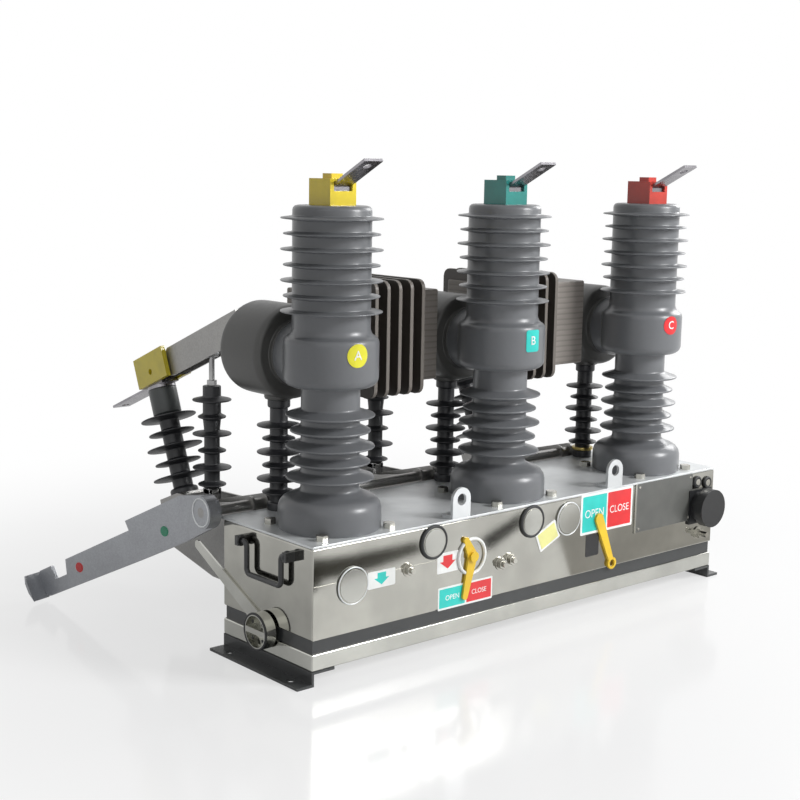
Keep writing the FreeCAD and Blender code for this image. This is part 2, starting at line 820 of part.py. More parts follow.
def build_arm(letter, across):
    """The round current transformer on the back of a pole, with flats for what it joins."""
    body = piece(f"current_transformer_{letter}", (across, 0, ARM_LEVEL))
    collar, chamfer = ARM_START + s.arm_collar, s.arm_round / 3
    outline = [
        (0, ARM_START), (s.arm_flange_radius, ARM_START), (s.arm_flange_radius, collar),
        (s.arm_radius, collar), (s.arm_radius, ARM_STOP - s.arm_round),
        (s.arm_radius - chamfer, ARM_STOP - chamfer),
        (s.arm_radius - s.arm_round, ARM_STOP), (0, ARM_STOP),
    ]
    turned(body, "XY_Plane", outline)
    slab(body, "XY_Plane", [("disc", (0, s.post_back), s.arm_foot_radius)], -s.arm_foot_drop, 0)
    sides = {"a": (1,), "b": (-1, 1), "c": (-1,)}[letter]
    middle = (s.block_front + s.block_depth / 2, (s.block_over - s.block_under) / 2)
    for side in sides:
        low = 0 if side > 0 else -s.side_boss_reach
        high = s.side_boss_reach if side > 0 else 0
        slab(body, "YZ_Plane", [("disc", middle, s.side_boss_radius)], low, high)

    contact = piece(f"fixed_contact_{letter}", (across, 0, 0))
    flange = [("disc", (0, ARM_LEVEL), s.contact_flange)]
    slab(contact, "XZ_Plane", flange, ARM_STOP, ARM_STOP + s.contact_sheet)
    tip = -s.blade_length + s.contact_overlap
    half = s.contact_height / 2
    knife = [
        (ARM_STOP, ARM_LEVEL - half / 2), (ARM_STOP, ARM_LEVEL + half / 2),
        leaned(-s.blade_length, half), leaned(tip, half), leaned(tip, -half),
    ]
    slab(contact, "YZ_Plane", [("polygon", knife)], -s.contact_half, s.contact_half)


def build_post(letter, across):
    """The slim insulator that holds up the current transformer."""
    body = piece(f"post_insulator_{letter}", (across, s.post_back, s.case_top))
    top = ARM_LEVEL - s.arm_foot_drop - s.case_top
    radii = [s.post_shed_small, s.post_shed_radius] * 3
    low = s.post_foot_height + s.post_shed_rise
    high = top - s.post_foot_height - s.post_shed_fall
    outline = [
        (0, 0), (s.post_foot_radius, 0), (s.post_foot_radius, s.post_foot_height),
        (s.post_core, s.post_foot_height),
    ]
    outline += shed_points([s.post_core] * len(radii), radii, low, high)
    outline += [
        (s.post_core, top - s.post_foot_height), (s.post_foot_radius, top - s.post_foot_height),
        (s.post_foot_radius, top), (0, top),
    ]
    turned(body, "XZ_Plane", outline)


def build_block(name, left, last_fin, count):
    """A ribbed voltage transformer that bridges the flats of two arms."""
    body = piece(name)
    low = left + s.side_boss_reach
    high = left + s.phase_pitch - s.side_boss_reach
    front, back = s.block_front, s.block_front + s.block_depth
    bottom, top = ARM_LEVEL - s.block_under, ARM_LEVEL + s.block_over
    slab(body, "YZ_Plane", [("polygon", box_points(front, bottom, back, top))], low, high)
    start = last_fin - (count - 1) * s.fin_pitch
    edges = (front - s.fin_ahead, bottom - s.fin_proud, back + s.fin_behind, top + s.fin_proud)
    fin = ("rounded", *edges, s.fin_round)
    pad = slab(body, "YZ_Plane", [fin], start, start + s.fin_thickness)
    pattern = body.newObject("PartDesign::LinearPattern", f"{name}_fins")
    pattern.Originals = [pad]
    plane = next(item for item in body.Origin.OriginFeatures if item.Role == "X_Axis")
    pattern.Direction = (plane, [""])
    pattern.Occurrences = count
    bind(pattern, "Length", (count - 1) * s.fin_pitch)
    body.Tip = pattern
    doc.recompute([pattern, body], True)


def build_isolator(letter, across):
    """One isolator: a leaning insulator, its terminal with the hinge, its cover and the blade."""
    foot = -s.hinge_rise - s.rear_length
    middle = s.hinge_inset
    insulator = leaning_piece(f"rear_insulator_{letter}", across)
    outline = [
        (0, 0), (s.rear_foot_radius, 0), (s.rear_foot_radius, s.rear_foot_height),
        (s.rear_core, s.rear_foot_height),
    ]
    radii = [s.rear_shed_radius, s.rear_shed_small] * 2 + [s.rear_shed_radius]
    head = s.rear_length - s.rear_head_length
    low = s.rear_foot_height + s.rear_shed_rise
    high = head - s.rear_shed_gap - s.shed_top
    outline += shed_points([s.rear_core] * len(radii), radii, low, high)
    outline += [
        (s.rear_core, head), (s.rear_head_radius, head), (s.rear_head_radius, s.rear_length),
        (0, s.rear_length),
    ]
    shifted_turn(insulator, outline, middle, foot)

    base = -s.hinge_rise
    terminal = leaning_piece(f"rear_terminal_{letter}", across)
    shifted_turn(terminal, [(0, 0), (s.rear_head_radius, 0), (s.rear_head_radius, s.cap_thickness),
                            (0, s.cap_thickness)], middle, base)
    plate_low = base + s.cap_thickness
    plate_high = plate_low + s.tongue_thickness
    half = s.tongue_width / 2
    tongue = box_points(-half, middle - s.tongue_front, half, middle + s.tongue_reach)
    slab(terminal, "XY_Plane", [("polygon", tongue)], plate_low, plate_high)
    slab(terminal, "XY_Plane", [("disc", (0, middle + s.tongue_reach - s.terminal_edge), s.terminal_hole)],
         plate_low, plate_high, cut=True)
    eye = s.ear_radius
    slab(terminal, "YZ_Plane", [("polygon", box_points(-eye, plate_low, eye, 0))], -s.ear_half, s.ear_half)
    slab(terminal, "YZ_Plane", [("disc", (0, 0), eye)], -s.ear_half, s.ear_half)
    pin = s.clamp_half - s.clamp_wall - s.side_gap
    slab(terminal, "YZ_Plane", [("disc", (0, 0), s.pin_radius)], -pin, pin)

    cover = leaning_piece(f"hinge_cover_{letter}", across)
    front, back = middle - s.clamp_front, middle + s.clamp_back
    outline = box_points(-s.clamp_half, front, s.clamp_half, back)
    slab(cover, "XY_Plane", [("polygon", outline)], plate_high, plate_high + s.clamp_height)
    hollow = s.clamp_half - s.clamp_wall
    outline = box_points(-hollow, front, hollow, back - s.clamp_wall)
    slab(cover, "XY_Plane", [("polygon", outline)], plate_high, plate_high + s.clamp_height, cut=True)
    bore = s.pin_radius + s.pin_gap
    slab(cover, "YZ_Plane", [("disc", (0, 0), bore)], -s.clamp_half, s.clamp_half, cut=True)

    blade = leaning_piece(f"isolator_blade_{letter}", across)
    low, high = s.blade_low + base, s.blade_high + base
    inner = s.ear_half + s.side_gap
    outer = inner + s.blade_sheet
    profile = [
        (-s.blade_length, low), (-s.blade_shoulder, low), (-s.blade_shoulder + s.blade_eye, -s.blade_eye),
        (0, -s.blade_eye), (0, s.blade_eye), (-s.blade_shoulder + s.blade_eye, s.blade_eye),
        (-s.blade_shoulder, high), (-s.blade_length, high),
    ]
    slab(blade, "YZ_Plane", [("polygon", profile)], -outer, outer)
    slab(blade, "YZ_Plane", [("disc", (0, 0), s.blade_eye)], -outer, outer)
    groove = box_points(-s.blade_length, low, s.blade_eye, high - s.blade_sheet)
    slab(blade, "YZ_Plane", [("polygon", groove)], -inner, inner, cut=True)
    slab(blade, "YZ_Plane", [("disc", (0, 0), bore)], -outer, outer, cut=True)
    slab(blade, "YZ_Plane", [("disc", (-s.rod_along, -s.rod_under), s.pin_radius)], -outer, outer)


def shifted_turn(body, points, along, up):
    """A solid of revolution whose axis stands at a given place along the leaning frame."""
    sketch = body.newObject("Sketcher::SketchObject", f"{body.Name}_sketch")
    plane = next(item for item in body.Origin.OriginFeatures if item.Role == "YZ_Plane")
    sketch.AttachmentSupport = (plane, [""])
    sketch.MapMode = "FlatFace"
    bind(sketch, "AttachmentOffset.Base.x", along)
    bind(sketch, "AttachmentOffset.Base.y", up)
    draw_polygon(sketch, points)
    feature = body.newObject("PartDesign::Revolution", f"{body.Name}_turn")
    feature.Profile = sketch
    feature.ReferenceAxis = (sketch, ["V_Axis"])
    feature.Angle = 360
    body.Tip = feature
    doc.recompute([sketch, feature, body], True)


def build_rod(letter, across):
    """The insulated rod that lifts a blade: an eye above, sheds, and a fork below."""
    body = piece(f"pull_rod_{letter}", (across, ROD_BACK, ROD_BOTTOM))
    start = s.rod_iron_bottom
    eye = s.rod_length
    top = eye - s.rod_iron_top
    radii = [s.rod_shed_small, s.rod_shed_radius] * 3
    cores = [s.rod_body_lower] * 4 + [s.rod_body_upper] * 2
    outline = [(0, start), (s.rod_body_lower, start)]
    outline += shed_points(cores, radii, start + s.rod_shed_rise, top - s.rod_shed_fall)
    outline += [
        (s.rod_body_upper, top), (s.rod_nut, top), (s.rod_nut, top + s.rod_nut_height),
        (s.rod_shank, top + s.rod_nut_height), (s.rod_shank, eye), (0, eye),
    ]
    turned(body, "XZ_Plane", outline)
    half = s.ear_half - s.side_gap
    slab(body, "YZ_Plane", [("disc", (0, eye), s.rod_eye)], -half, half)
    slab(body, "YZ_Plane", [("disc", (0, eye), s.pin_radius + s.pin_gap)], -half, half, cut=True)
    inner = s.crank_half + s.side_gap
    outer = inner + s.fork_tine
    end = s.fork_end
    slab(body, "YZ_Plane", [("polygon", box_points(-end, 0, end, start))], -outer, outer)
    slab(body, "YZ_Plane", [("disc", (0, 0), end)], -outer, outer)
    slab(body, "YZ_Plane", [("polygon", box_points(-end, -end, end, start))], -inner, inner, cut=True)
    slab(body, "YZ_Plane", [("disc", (0, 0), s.pin_radius)], -outer, outer)


def slot_point(along):
    """A point of a crank's slot line, measured from the pull rod's lower pin at rest."""
    back = ROD_BACK - along * cosine(s.slot_rise) - s.slot_side * sine(s.slot_rise)
    level = ROD_BOTTOM + along * sine(s.slot_rise) - s.slot_side * cosine(s.slot_rise)
    return back, level


def build_shaft():
    """The isolator shaft with its three cranks, each slotted for a pull rod's lower pin."""
    body = piece("isolator_shaft")
    spot = (s.shaft_back, s.shaft_level)
    left = -CASE_HALF - s.lever_gap - s.lever_hub_length
    right = PHASES["c"] + s.bracket_half + s.shaft_overhang
    slab(body, "YZ_Plane", [("disc", spot, s.shaft_radius)], left, right)
    outer, inner = slot_point(-s.slot_outer), slot_point(s.slot_inner)
    for across in PHASES.values():
        low, high = across - s.crank_half, across + s.crank_half
        slab(body, "YZ_Plane", [("link", spot, s.crank_hub, outer, s.crank_eye)], low, high)
        slot = [("link", outer, s.slot_width / 2, inner, s.slot_width / 2)]
        slab(body, "YZ_Plane", slot, low, high, cut=True)


def build_bracket(letter, across):
    """A welded bracket on the back of the case: two cheeks, a flange and the insulator's seat."""
    body = piece(f"isolator_bracket_{letter}", (across, 0, 0))
    foot = -s.hinge_rise - s.rear_length
    front, back = s.hinge_inset - s.bracket_seat_half, s.hinge_inset + s.bracket_seat_half
    seat_low = foot - s.bracket_sheet
    notch = CASE_BACK + s.rear_overhang + s.bracket_clear
    outline = [
        (CASE_BACK, s.bracket_bottom), (s.bracket_knee, s.bracket_bottom),
        leaned(back, foot - s.bracket_deep), leaned(back, foot), leaned(front, foot),
        (s.bracket_knee, s.bracket_top), (s.shaft_back + s.bearing_radius, s.shaft_level),
        (notch, s.shaft_level), (notch, s.bracket_step), (CASE_BACK, s.bracket_step),
    ]
    slab(body, "YZ_Plane", [("polygon", outline)], -s.bracket_half, s.bracket_half)
    bearing = [("disc", (s.shaft_back, s.shaft_level), s.bearing_radius)]
    slab(body, "YZ_Plane", bearing, -s.bracket_half, s.bracket_half)
    inner = s.bracket_half - s.bracket_sheet
    wall = CASE_BACK + s.bracket_sheet
    hollow = [
        (wall, 0), (wall, s.hinge_level), leaned(front, -s.hinge_rise), leaned(front, seat_low),
        leaned(s.tongue_reach, seat_low), leaned(s.tongue_reach, foot - s.rear_length),
    ]
    slab(body, "YZ_Plane", [("polygon", hollow)], -inner, inner, cut=True)
    bore = [("disc", (s.shaft_back, s.shaft_level), s.shaft_radius + s.slide_gap)]
    slab(body, "YZ_Plane", bore, -s.bracket_half, s.bracket_half, cut=True)
    wide = s.bracket_half + s.bracket_flange
    flange = box_points(-wide, s.bracket_bottom, wide, s.bracket_step)
    slab(body, "XZ_Plane", [("polygon", flange)], CASE_BACK, wall)


def build_lever():
    """The operating lever: bent plate with a hook at its end, round a hub on the shaft."""
    hub_right = -CASE_HALF - s.lever_gap
    section = piece_sketch("lever_section", "XY")
    thick = s.lever_sheet
    far = s.lever_length + s.lever_bend
    splay = s.lever_length * sine(s.lever_splay)
    ahead = s.lever_length * cosine(s.lever_splay)
    skew = thick * sine(s.lever_splay), thick * cosine(s.lever_splay)
    draw_polygon(section, [
        (hub_right, s.shaft_back - s.lever_hub * 2), (hub_right, s.lever_bend),
        (hub_right - splay, s.lever_bend + ahead),
        (hub_right - splay - skew[1], s.lever_bend + ahead - skew[0]),
        (hub_right - thick, s.lever_bend), (hub_right - thick, s.shaft_back - s.lever_hub * 2),
    ])
    outline = piece_sketch("lever_outline", "YZ")
    slope = s.lever_rest

    def spot(along, up):
        back = s.shaft_back + along * cosine(slope) + up * sine(slope)
        level = s.shaft_level - along * sine(slope) + up * cosine(slope)
        return back, level

    tip = s.lever_length
    root = tip - s.hook_tip - s.hook_width
    draw_polygon(outline, [
        spot(0, s.lever_hub), spot(s.lever_neck, s.lever_crown), spot(s.lever_step, s.lever_crown),
        spot(s.lever_step, s.lever_high), spot(root, s.lever_high),
        spot(root + s.hook_width / 4, s.lever_high - s.hook_depth),
        spot(root + s.hook_width, s.lever_high - s.hook_depth),
        spot(root + s.hook_width, s.lever_high), spot(tip - s.hook_round, s.lever_high),
        spot(tip, s.lever_high - s.hook_round), spot(tip, 0), spot(tip - s.hook_round, s.lever_tip_low),
        spot(s.lever_step, s.lever_low), spot(0, -s.lever_hub),
        spot(-s.lever_hub, -s.lever_hub / 3), spot(-s.lever_hub, s.lever_hub / 3),
    ])
    doc.recompute()
    strip = doc.addObject("Part::Extrusion", "lever_strip")
    strip.Base = section
    strip.DirMode = "Custom"
    strip.Dir = Vector(0, 0, 1)
    strip.Solid = True
    bind(strip, "LengthFwd", CAP_TOP)
    form = doc.addObject("Part::Extrusion", "lever_form")
    form.Base = outline
    form.DirMode = "Custom"
    form.Dir = Vector(-1, 0, 0)
    form.Solid = True
    bind(form, "LengthFwd", s.case_length)
    plate = doc.addObject("Part::Common", "lever_plate")
    plate.Base, plate.Tool = strip, form
    hub = doc.addObject("Part::Cylinder", "lever_ring")
    bind(hub, "Radius", s.lever_hub)
    bind(hub, "Height", s.lever_hub_length)
    hub.Placement = Placement(Vector(0, 0, 0), Rotation(Vector(0, 1, 0), -90))
    bind(hub, "Placement.Base.x", hub_right)
    bind(hub, "Placement.Base.y", s.shaft_back)
    bind(hub, "Placement.Base.z", s.shaft_level)
    bore = doc.addObject("Part::Cylinder", "lever_bore")
    bind(bore, "Radius", s.shaft_radius + s.slide_gap / 2)
    bind(bore, "Height", s.lever_hub_length + s.lever_gap)
    bore.Placement = Placement(Vector(0, 0, 0), Rotation(Vector(0, 1, 0), -90))
    bind(bore, "Placement.Base.x", -CASE_HALF)
    bind(bore, "Placement.Base.y", s.shaft_back)
    bind(bore, "Placement.Base.z", s.shaft_level)
    edge = piece_sketch("lip_outline", "XZ")
    lean = f"rotationz(90 deg + {s.lever_splay.text} * 1 deg) * rotationx(90 deg)"
    bind_place(edge, (hub_right, s.lever_bend, as_size(0)), lean)

    def along_plate(point):
        """A point of the lever's outline, measured along the bent part of its plate."""
        return (point[0] - s.lever_bend) / cosine(s.lever_splay), point[1]

    bent_tip = [
        (tip - thick, s.lever_tip_low), (tip, 0),
        (tip, s.lever_high - s.hook_round), (tip - thick, s.lever_high),
    ]
    draw_polygon(edge, [along_plate(spot(a, b)) for a, b in bent_tip])
    lip = doc.addObject("Part::Extrusion", "lever_lip")
    lip.Base = edge
    lip.DirMode = "Normal"
    lip.Reversed = True
    lip.Solid = True
    bind(lip, "LengthFwd", s.lip_width)
    ends = doc.addObject("Part::Fuse", "lever_ends")
    ends.Base, ends.Tool = hub, lip
    whole = doc.addObject("Part::Fuse", "lever_whole")
    whole.Base, whole.Tool = plate, ends
    lever = doc.addObject("Part::Cut", "operating_lever")
    lever.Label = "operating_lever"
    lever.Base, lever.Tool = whole, bore
    doc.recompute()
    PIECES.append(lever)


def piece_sketch(name, plane):
    """A sketch in one of the main planes, outside any body."""
    sketch = doc.addObject("Sketcher::SketchObject", name)
    turns = {"XY": Rotation(), "YZ": Rotation(Vector(1, 1, 1), 120), "XZ": Rotation(Vector(1, 0, 0), 90)}
    sketch.Placement = Placement(Vector(0, 0, 0), turns[plane])
    return sketch


def build_latch():
    """The interlock knob on the left end, with the latch arm that reaches under the lever."""
    body = piece("interlock_knob", (0, s.knob_back, s.knob_level))
    wall = -CASE_HALF - s.seat_gap
    arm = wall - s.latch_sheet
    slab(body, "YZ_Plane", [("disc", (0, 0), s.knob_spindle)], wall, -CASE_HALF + s.spindle_depth)
    tip = (s.latch_reach * cosine(s.latch_rise), s.latch_reach * sine(s.latch_rise))
    slab(body, "YZ_Plane", [("link", (0, 0), s.latch_hub, tip, s.latch_half)], arm, wall)
    slab(body, "YZ_Plane", [("disc", (0, 0), s.knob_radius)], arm - s.knob_length, arm)
    slab(body, "YZ_Plane", [("disc", (0, 0), s.knob_radius - s.knob_rim)],
         arm - s.knob_length, arm - s.knob_floor, cut=True)
    grip = box_points(-s.knob_radius + s.knob_rim, -s.knob_rim, s.knob_radius - s.knob_rim, s.knob_rim)
    slab(body, "YZ_Plane", [("polygon", grip)], arm - s.knob_length, arm - s.knob_floor)


def build_handle():
    """The drop handle on the left end and the two blocks that hold its pins."""
    axis = -CASE_HALF - s.handle_stand
    half, drop, bend = s.handle_half, s.handle_drop, s.handle_bend
    path = piece_sketch("handle_path", "YZ")
    bind(path, "Placement.Base.x", axis)
    bind(path, "Placement.Base.y", s.handle_middle)
    bind(path, "Placement.Base.z", s.handle_level)
    corners = [(-s.handle_pin_half, 0), (-half, 0), (-half, -drop), (half, -drop), (half, 0),
               (s.handle_pin_half, 0)]
    draw_path(path, corners, bend)
    ring = piece_sketch("handle_ring", "XZ")
    bind(ring, "Placement.Base.x", axis)
    bind(ring, "Placement.Base.y", s.handle_middle - s.handle_pin_half)
    bind(ring, "Placement.Base.z", s.handle_level)
    draw_circle(ring, (0, 0), s.handle_radius)
    doc.recompute()
    handle = doc.addObject("Part::Sweep", "carrying_handle")
    handle.Label = "carrying_handle"
    handle.Sections = [ring]
    edges = [f"Edge{number + 1}" for number in range(len(path.Shape.Edges))]
    handle.Spine = (path, edges)
    handle.Solid = True
    handle.Frenet = True
    doc.recompute()
    PIECES.append(handle)

    blocks = piece("handle_brackets")
    inner = s.handle_half + s.handle_bend + s.handle_radius
    outer = s.handle_pin_half - s.seat_gap
    size = s.handle_block / 2
    outline = box_points(-CASE_HALF - s.handle_stand - size, s.handle_level - size, -CASE_HALF,
                         s.handle_level + size)
    hole = [("disc", (axis, s.handle_level), s.handle_radius + s.slide_gap)]
    for low, high in ((-outer, -inner), (inner, outer)):
        low, high = s.handle_middle + low, s.handle_middle + high
        slab(blocks, "XZ_Plane", [("polygon", outline)], low, high)
    slab(blocks, "XZ_Plane", hole, s.handle_middle - outer, s.handle_middle + outer, cut=True)


def draw_path(sketch, corners, bend):
    """An open path of straight runs joined by round bends of one radius."""
    spots = [(as_size(a), as_size(b)) for a, b in corners]
    runs = []
    for start, stop in zip(spots, spots[1:]):
        line = Part.LineSegment(
            Vector(start[0].number, start[1].number, 0), Vector(stop[0].number, stop[1].number, 0)
        )
        runs.append(sketch.addGeometry(line))
    rules = []
    for index, (one, two) in enumerate(zip(runs, runs[1:])):
        rules.append((Sketcher.Constraint("Coincident", one, 2, two, 1), None))
    for index, spot in zip(runs + runs[-1:], spots):
        end = 1 if spot is not spots[-1] else 2
        fix_point(sketch, rules, index, end, spot)
    apply_rules(sketch, rules)
    middles = [
        Vector(one[0].number + two[0].number, one[1].number + two[1].number, 0) / 2
        for one, two in zip(spots, spots[1:])
    ]
    for index, (one, two) in enumerate(zip(runs, runs[1:])):
        sketch.fillet(one, two, middles[index], middles[index + 1], as_size(bend).number, True, True)
        arc = sketch.GeometryCount - 1
        while not isinstance(sketch.Geometry[arc], Part.ArcOfCircle):
            arc -= 1
        apply_rules(sketch, [(Sketcher.Constraint("Radius", arc, as_size(bend).number), as_size(bend))])


def build_front():
    """What sits on the front face: round covers, the two yellow levers, the plug cap."""
    front = -CASE_BACK
    covers = piece("blanking_covers")
    discs = [
        ("disc", (s.port_one_x, s.port_one_z), s.port_large),
        ("disc", (s.port_two_x, s.port_two_z), s.port_small),
        ("disc", (s.port_three_x, s.port_three_z), s.port_small),
        ("disc", (s.port_four_x, s.port_four_z), s.port_large),
    ]
    slab(covers, "XZ_Plane", discs, front - s.port_thickness, front)

    lever = piece("charging_lever", (s.charge_pivot_x, 0, s.charge_pivot_z))
    face = front - s.seat_gap
    arm = face - s.front_sheet
    slab(lever, "XZ_Plane", [("disc", (0, 0), s.front_spindle)], face, front + s.spindle_depth)
    for tip in ((s.charge_tip_x, -s.charge_drop), (s.charge_tip_x, s.charge_lift)):
        slab(lever, "XZ_Plane", [("link", (0, 0), s.charge_hub, tip, s.charge_half)], arm, face)
    slab(lever, "XZ_Plane", [("disc", (0, 0), s.charge_boss)], arm - s.front_sheet, arm)

    handle = piece("operating_handle", (s.handle_pivot_x, 0, s.handle_pivot_z))
    slab(handle, "XZ_Plane", [("disc", (0, 0), s.front_spindle)], face, front + s.spindle_depth)
    tip = (s.grip_tip_x, -s.grip_drop)
    slab(handle, "XZ_Plane", [("link", (0, 0), s.charge_hub, tip, s.charge_half)], arm, face)
    slab(handle, "XZ_Plane", [("disc", tip, s.grip_ring)], arm, face)
    slab(handle, "XZ_Plane", [("disc", tip, s.grip_hole)], arm, face, cut=True)

    cap = piece("connector_cap", (s.plug_x, 0, s.plug_z))
    plate = box_points(-s.plug_plate, -s.plug_plate, s.plug_plate, s.plug_plate)
    slab(cap, "XZ_Plane", [("polygon", plate)], front - s.front_sheet, front)
    end = front - s.plug_length
    slab(cap, "XZ_Plane", [("disc", (0, 0), s.plug_neck)], end, front)
    slab(cap, "XZ_Plane", [("disc", (0, 0), s.plug_radius)], end - s.plug_cap, end)

    bolts = piece("earthing_bolts")
    spot = (s.earth_x, s.earth_z)
    slab(bolts, "XZ_Plane", [("disc", spot, s.earth_washer)], front - s.washer_thickness, front)
    slab(bolts, "XZ_Plane", [("polygon", around(spot, hexagon(s.earth_head)))],
         front - s.washer_thickness - s.earth_height, front - s.washer_thickness)
    slab(bolts, "XZ_Plane", [("disc", spot, s.earth_stud)], front - s.earth_reach, front)


def build_lugs():
    """Two lifting lugs welded along the front edge of the top plate."""
    body = piece("lifting_lugs")
    front = -CASE_BACK
    half = s.lug_width / 2
    for across in (s.lug_left, s.lug_right):
        low = s.case_top
        plate = [("polygon", box_points(across - half, low, across + half, s.lug_hole_level))]
        slab(body, "XZ_Plane", plate, front, front + s.lug_sheet)
        slab(body, "XZ_Plane", [("disc", (across, s.lug_hole_level), half)], front, front + s.lug_sheet)
        slab(body, "XZ_Plane", [("disc", (across, s.lug_hole_level), s.lug_hole)], front,
             front + s.lug_sheet, cut=True)
        seat = [("polygon", box_points(across - half, front, across + half, front + s.lug_seat))]
        slab(body, "XY_Plane", seat, low, low + s.lug_sheet)


def build_bolts():
    """The hexagon bolts that hold the poles down, four to a pole, as one group."""
    body = piece("pole_bolts")
    reach = s.bell_radius + s.bolt_offset
    aside, back = reach * sine(s.bolt_turn), reach * cosine(s.bolt_turn)
    for across in PHASES.values():
        spots = [(across + a * aside, POLE_BACK + b * back) for a in (-1, 1) for b in (-1, 1)]
        heads = [("polygon", around(spot, hexagon(s.bolt_head))) for spot in spots]
        slab(body, "XY_Plane", heads, s.case_top, s.case_top + s.bolt_height)


for build in (build_feet, build_case, build_interrupters, build_drive, build_shaft, build_lever,
              build_latch, build_handle, build_front, build_lugs, build_bolts):
    build()
for letter, across in PHASES.items():
    build_pole(letter, across)
    build_terminal(letter, across)
    build_arm(letter, across)
    build_post(letter, across)
    build_isolator(letter, across)
    build_rod(letter, across)
    build_bracket(letter, across)
build_block("voltage_transformer_ab", PHASES["a"], s.fin_last_left, 5)
build_block("voltage_transformer_bc", PHASES["b"], s.fin_last_right, 5)

doc.recompute()
for item in doc.Objects:
    if "Invalid" in item.State or "Error" in item.State:
        raise RuntimeError(f"{item.Label} did not build: {item.State}")
for body in PIECES:
    if body.Shape.isNull() or not body.Shape.isValid():
        raise RuntimeError(f"{body.Label} has no sound shape")
    body.Shape.exportStep(f"parts/{body.Label}.step")
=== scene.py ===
# %% [markdown]
# # An outdoor recloser on its stainless case
# A recloser is the self-resetting switch of an overhead line. Three resin poles
# stand on a long case, each with a current transformer on its back, and behind them
# three knife isolators are lifted by one lever. The measured parts come from the
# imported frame. Here they get their finishes, and the cast, folded and printed pieces
# are modelled over them as one would do it by hand in Blender.

# %% Load the measured frame
import math

import bpy
from mathutils import Euler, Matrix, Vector


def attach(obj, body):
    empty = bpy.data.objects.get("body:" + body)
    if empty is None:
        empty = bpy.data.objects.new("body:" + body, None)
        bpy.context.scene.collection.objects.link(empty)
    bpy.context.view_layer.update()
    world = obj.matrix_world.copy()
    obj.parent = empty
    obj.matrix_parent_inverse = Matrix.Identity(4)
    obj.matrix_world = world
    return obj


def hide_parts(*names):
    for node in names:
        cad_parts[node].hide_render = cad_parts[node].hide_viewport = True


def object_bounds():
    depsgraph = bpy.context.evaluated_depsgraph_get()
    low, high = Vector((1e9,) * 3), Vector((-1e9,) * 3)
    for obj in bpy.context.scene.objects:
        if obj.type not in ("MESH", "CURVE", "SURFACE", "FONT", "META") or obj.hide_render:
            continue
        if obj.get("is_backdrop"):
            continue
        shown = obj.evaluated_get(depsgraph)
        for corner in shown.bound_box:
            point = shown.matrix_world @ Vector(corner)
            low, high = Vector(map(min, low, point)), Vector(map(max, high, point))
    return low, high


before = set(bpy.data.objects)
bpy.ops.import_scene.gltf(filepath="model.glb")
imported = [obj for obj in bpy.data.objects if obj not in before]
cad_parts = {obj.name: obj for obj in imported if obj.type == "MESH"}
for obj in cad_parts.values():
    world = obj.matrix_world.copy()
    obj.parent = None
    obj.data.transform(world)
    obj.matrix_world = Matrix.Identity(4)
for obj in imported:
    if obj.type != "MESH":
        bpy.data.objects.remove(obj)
cad_low, cad_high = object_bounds()
print("frame box", [round(v, 3) for v in cad_low], [round(v, 3) for v in cad_high])

# %% [markdown]
# ## Sizes that the pieces share
# The drawing of the recloser is in millimetres and Blender works in metres, so one
# helper turns the first into the second. Nearly every piece is placed from the sizes
# below, so they are named once. BACK is a distance towards the isolators, TOP and
# LEVEL are heights, and DRUM_REACH is a transformer's half width over its flats.

# %% Shared sizes and places
MM = 0.001
PHASES = {"a": -351.7, "b": -11.7, "c": 328.3}
POLE_BACK, POST_BACK = -25.4, 99
CASE_HALF, CASE_FRONT, CASE_BACK, CASE_TOP = 445, -108, 108, 200
POST_TOP, ARM_LEVEL, CAP_TOP = 369, 443, 659
DRUM_REACH = 74
HINGE_BACK, HINGE_LEVEL, LEAN = 427, 372, 22.2


def mm(*values):
    """A point in millimetres, as Blender's metres."""
    return Vector(values) * MM


def leaned(along, up):
    """A point of the leaning isolator frame, from the hinge, as back and level."""
    cos, sin = math.cos(math.radians(LEAN)), math.sin(math.radians(LEAN))
    return HINGE_BACK + along * cos + up * sin, HINGE_LEVEL - along * sin + up * cos


print("phases stand", PHASES["b"] - PHASES["a"], "mm apart")

# %% [markdown]
# ## The camera
# The photograph is taken from the front left, a little above the case. A long lens
# of 64 mm keeps the poles nearly upright. The camera is turned in three steps, as on
# a tripod: it pans, it tilts down, and it rolls by one degree.

# %% Set up the camera
CAMERA_PLACE = (-1599, -1610, 715)
PAN, TILT, ROLL = 41.02, 9.29, 1.01
LENS, SENSOR = 64.44, 36

lens = bpy.data.cameras.new("camera")
lens.lens = LENS
lens.sensor_width = SENSOR
lens.clip_end = 50
camera = bpy.data.objects.new("camera", lens)
bpy.context.scene.collection.objects.link(camera)
camera.location = mm(*CAMERA_PLACE)
pan = Euler((0, 0, -math.radians(PAN))).to_matrix()
tilt = Euler((math.radians(90 - TILT), 0, 0)).to_matrix()
roll = Euler((0, 0, math.radians(ROLL))).to_matrix()
camera.rotation_euler = (pan @ tilt @ roll).to_euler()
bpy.context.scene.camera = camera
bpy.context.scene.view_settings.view_transform = "Standard"
print("camera at", CAMERA_PLACE, "mm with a lens of", LENS, "mm")

# %% [markdown]
# ## Writing a finish as an expression
# A finish is a small graph of nodes. Wiring it by hand takes many lines, so one class
# wraps a socket and lets it be added, subtracted and multiplied, and each sign adds
# its own Math node. The reversed forms make 1 - socket work as well.

